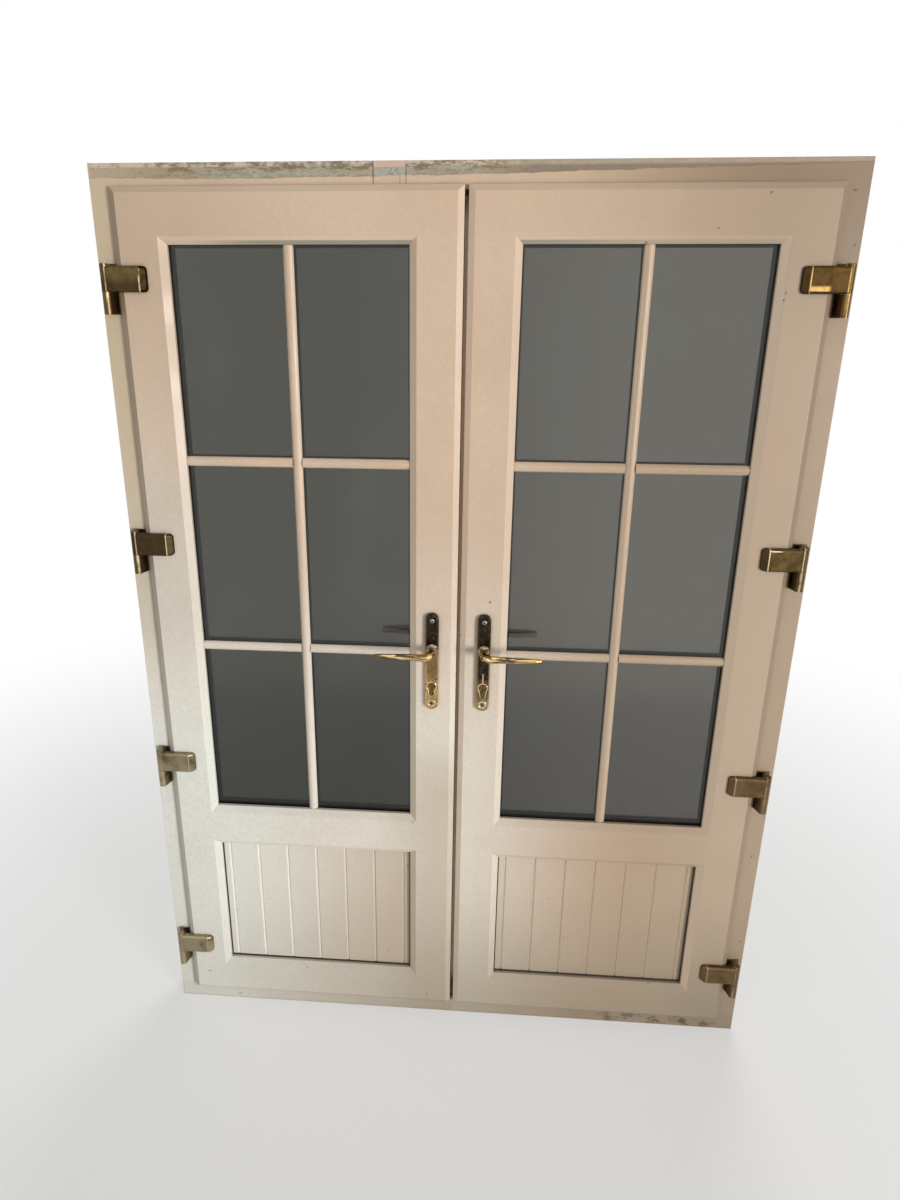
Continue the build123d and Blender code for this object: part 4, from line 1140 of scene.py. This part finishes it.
def add_camera(settings):
    """The camera at the photograph's viewing angle."""
    data = bpy.data.cameras.new("camera")
    data.sensor_fit = "VERTICAL"
    data.sensor_height = 36.0
    data.lens = settings.lens
    data.shift_x, data.shift_y = settings.shift
    data.clip_start = 0.05
    data.clip_end = 60.0
    camera = linked("camera", data)
    turn = (
        Matrix.Rotation(settings.camera_yaw, 4, "Z")
        @ Matrix.Rotation(math.pi / 2 - settings.camera_pitch, 4, "X")
        @ Matrix.Rotation(-settings.camera_roll, 4, "Z")
    )
    camera.matrix_world = Matrix.Translation(Vector(settings.camera_place)) @ turn
    bpy.context.scene.camera = camera


def add_lamp(name, place, aim, size, power):
    """A large square lamp aimed at one point."""
    data = bpy.data.lights.new(name, "AREA")
    data.shape = "SQUARE"
    data.size = size
    data.energy = power
    lamp = linked(name, data)
    lamp.location = place
    lamp.rotation_mode = "QUATERNION"
    lamp.rotation_quaternion = (Vector(aim) - Vector(place)).to_track_quat("-Z", "Y")


def seen_background(nodes):
    """1 for rays that show the background, and 0 for those that light the scene."""
    rays = nodes.node("ShaderNodeLightPath").outputs
    return nodes.largest(rays["Is Camera Ray"], rays["Is Glossy Ray"], rays["Is Transmission Ray"])


def add_sky(strength):
    """Even light from all sides, seen as plain white."""
    world = bpy.data.worlds.new("sky")
    world.use_nodes = True
    sky = Nodes(world.node_tree)
    light = sky.tree.nodes["Background"]
    sky.feed(light.inputs["Color"], (1.0, 0.985, 0.96))
    sky.feed(light.inputs["Strength"], strength)
    shown = sky.node("ShaderNodeBackground", {"Color": (1.0, 1.0, 1.0)})
    sky.blend(seen_background(sky), light, shown, "World Output")
    bpy.context.scene.world = world


def floor_material():
    """Pale floor that keeps the shadow and fades into the background."""
    floor = Finish("floor")
    far = floor.node("ShaderNodeVectorMath", {0: floor.place}, operation="LENGTH").outputs["Value"]
    fade = floor.product(floor.span(far, 0.9, 3.3, 0.42), seen_background(floor))
    material = floor.done((0.86, 0.855, 0.845), 0.9, Specular_IOR_Level=0.1)
    floor.blend(fade, floor.shader, floor.node("ShaderNodeEmission"), "Material Output")
    return material


def add_floor():
    """A wide round floor under the doors."""
    mesh = bpy.data.meshes.new("floor")
    shape = bmesh.new()
    bmesh.ops.create_circle(shape, cap_ends=True, radius=FLOOR_RADIUS, segments=96)
    bmesh.ops.translate(shape, verts=shape.verts, vec=(0.0, 0.0, FLOOR_HEIGHT))
    shape.to_mesh(mesh)
    shape.free()
    mesh.materials.append(floor_material())
    floor = linked("floor", mesh)


class DOORS_OT_stage(bpy.types.Operator):
    """Set the camera, lamps, sky and floor"""

    bl_idname = "doors.stage"
    bl_label = "Stage"

    def execute(self, context):
        settings = context.scene.door_stage
        context.scene.view_settings.view_transform = "Standard"
        add_camera(settings)
        add_sky(settings.sky)
        for name, place, aim, size, share in LAMPS:
            add_lamp(name, place, aim, size, settings.key_power * share)
        add_floor()
        return {"FINISHED"}


OPERATORS = (DOORS_OT_plastic, DOORS_OT_glazing, DOORS_OT_hinges, DOORS_OT_handles, DOORS_OT_stage)


class DOORS_PT_panel(bpy.types.Panel):
    """Lists the steps that dress the doors."""

    bl_idname = "DOORS_PT_panel"
    bl_label = "French Doors"
    bl_space_type = "VIEW_3D"
    bl_region_type = "UI"
    bl_category = "French Doors"

    def draw(self, context):
        layout = self.layout
        for operator in OPERATORS:
            layout.operator(operator.bl_idname)
        for group in (context.scene.door_colours, context.scene.door_stage):
            box = layout.box()
            for name in group.__annotations__:
                box.prop(group, name)


CLASSES = (FinishColours, StageSettings, *OPERATORS, DOORS_PT_panel)


def register():
    """Adds the classes and the scene's settings."""
    for made in CLASSES:
        bpy.utils.register_class(made)
    bpy.types.Scene.door_colours = PointerProperty(type=FinishColours)
    bpy.types.Scene.door_stage = PointerProperty(type=StageSettings)


def unregister():
    """Removes the settings and the classes."""
    del bpy.types.Scene.door_stage
    del bpy.types.Scene.door_colours
    for made in reversed(CLASSES):
        bpy.utils.unregister_class(made)


def run(operator):
    """Calls one operator by its name."""
    group, name = operator.bl_idname.split(".")
    getattr(getattr(bpy.ops, group), name)()


def main():
    """Dresses the doors."""
    register()
    for operator in OPERATORS:
        run(operator)


if __name__ == "__main__":
    main()
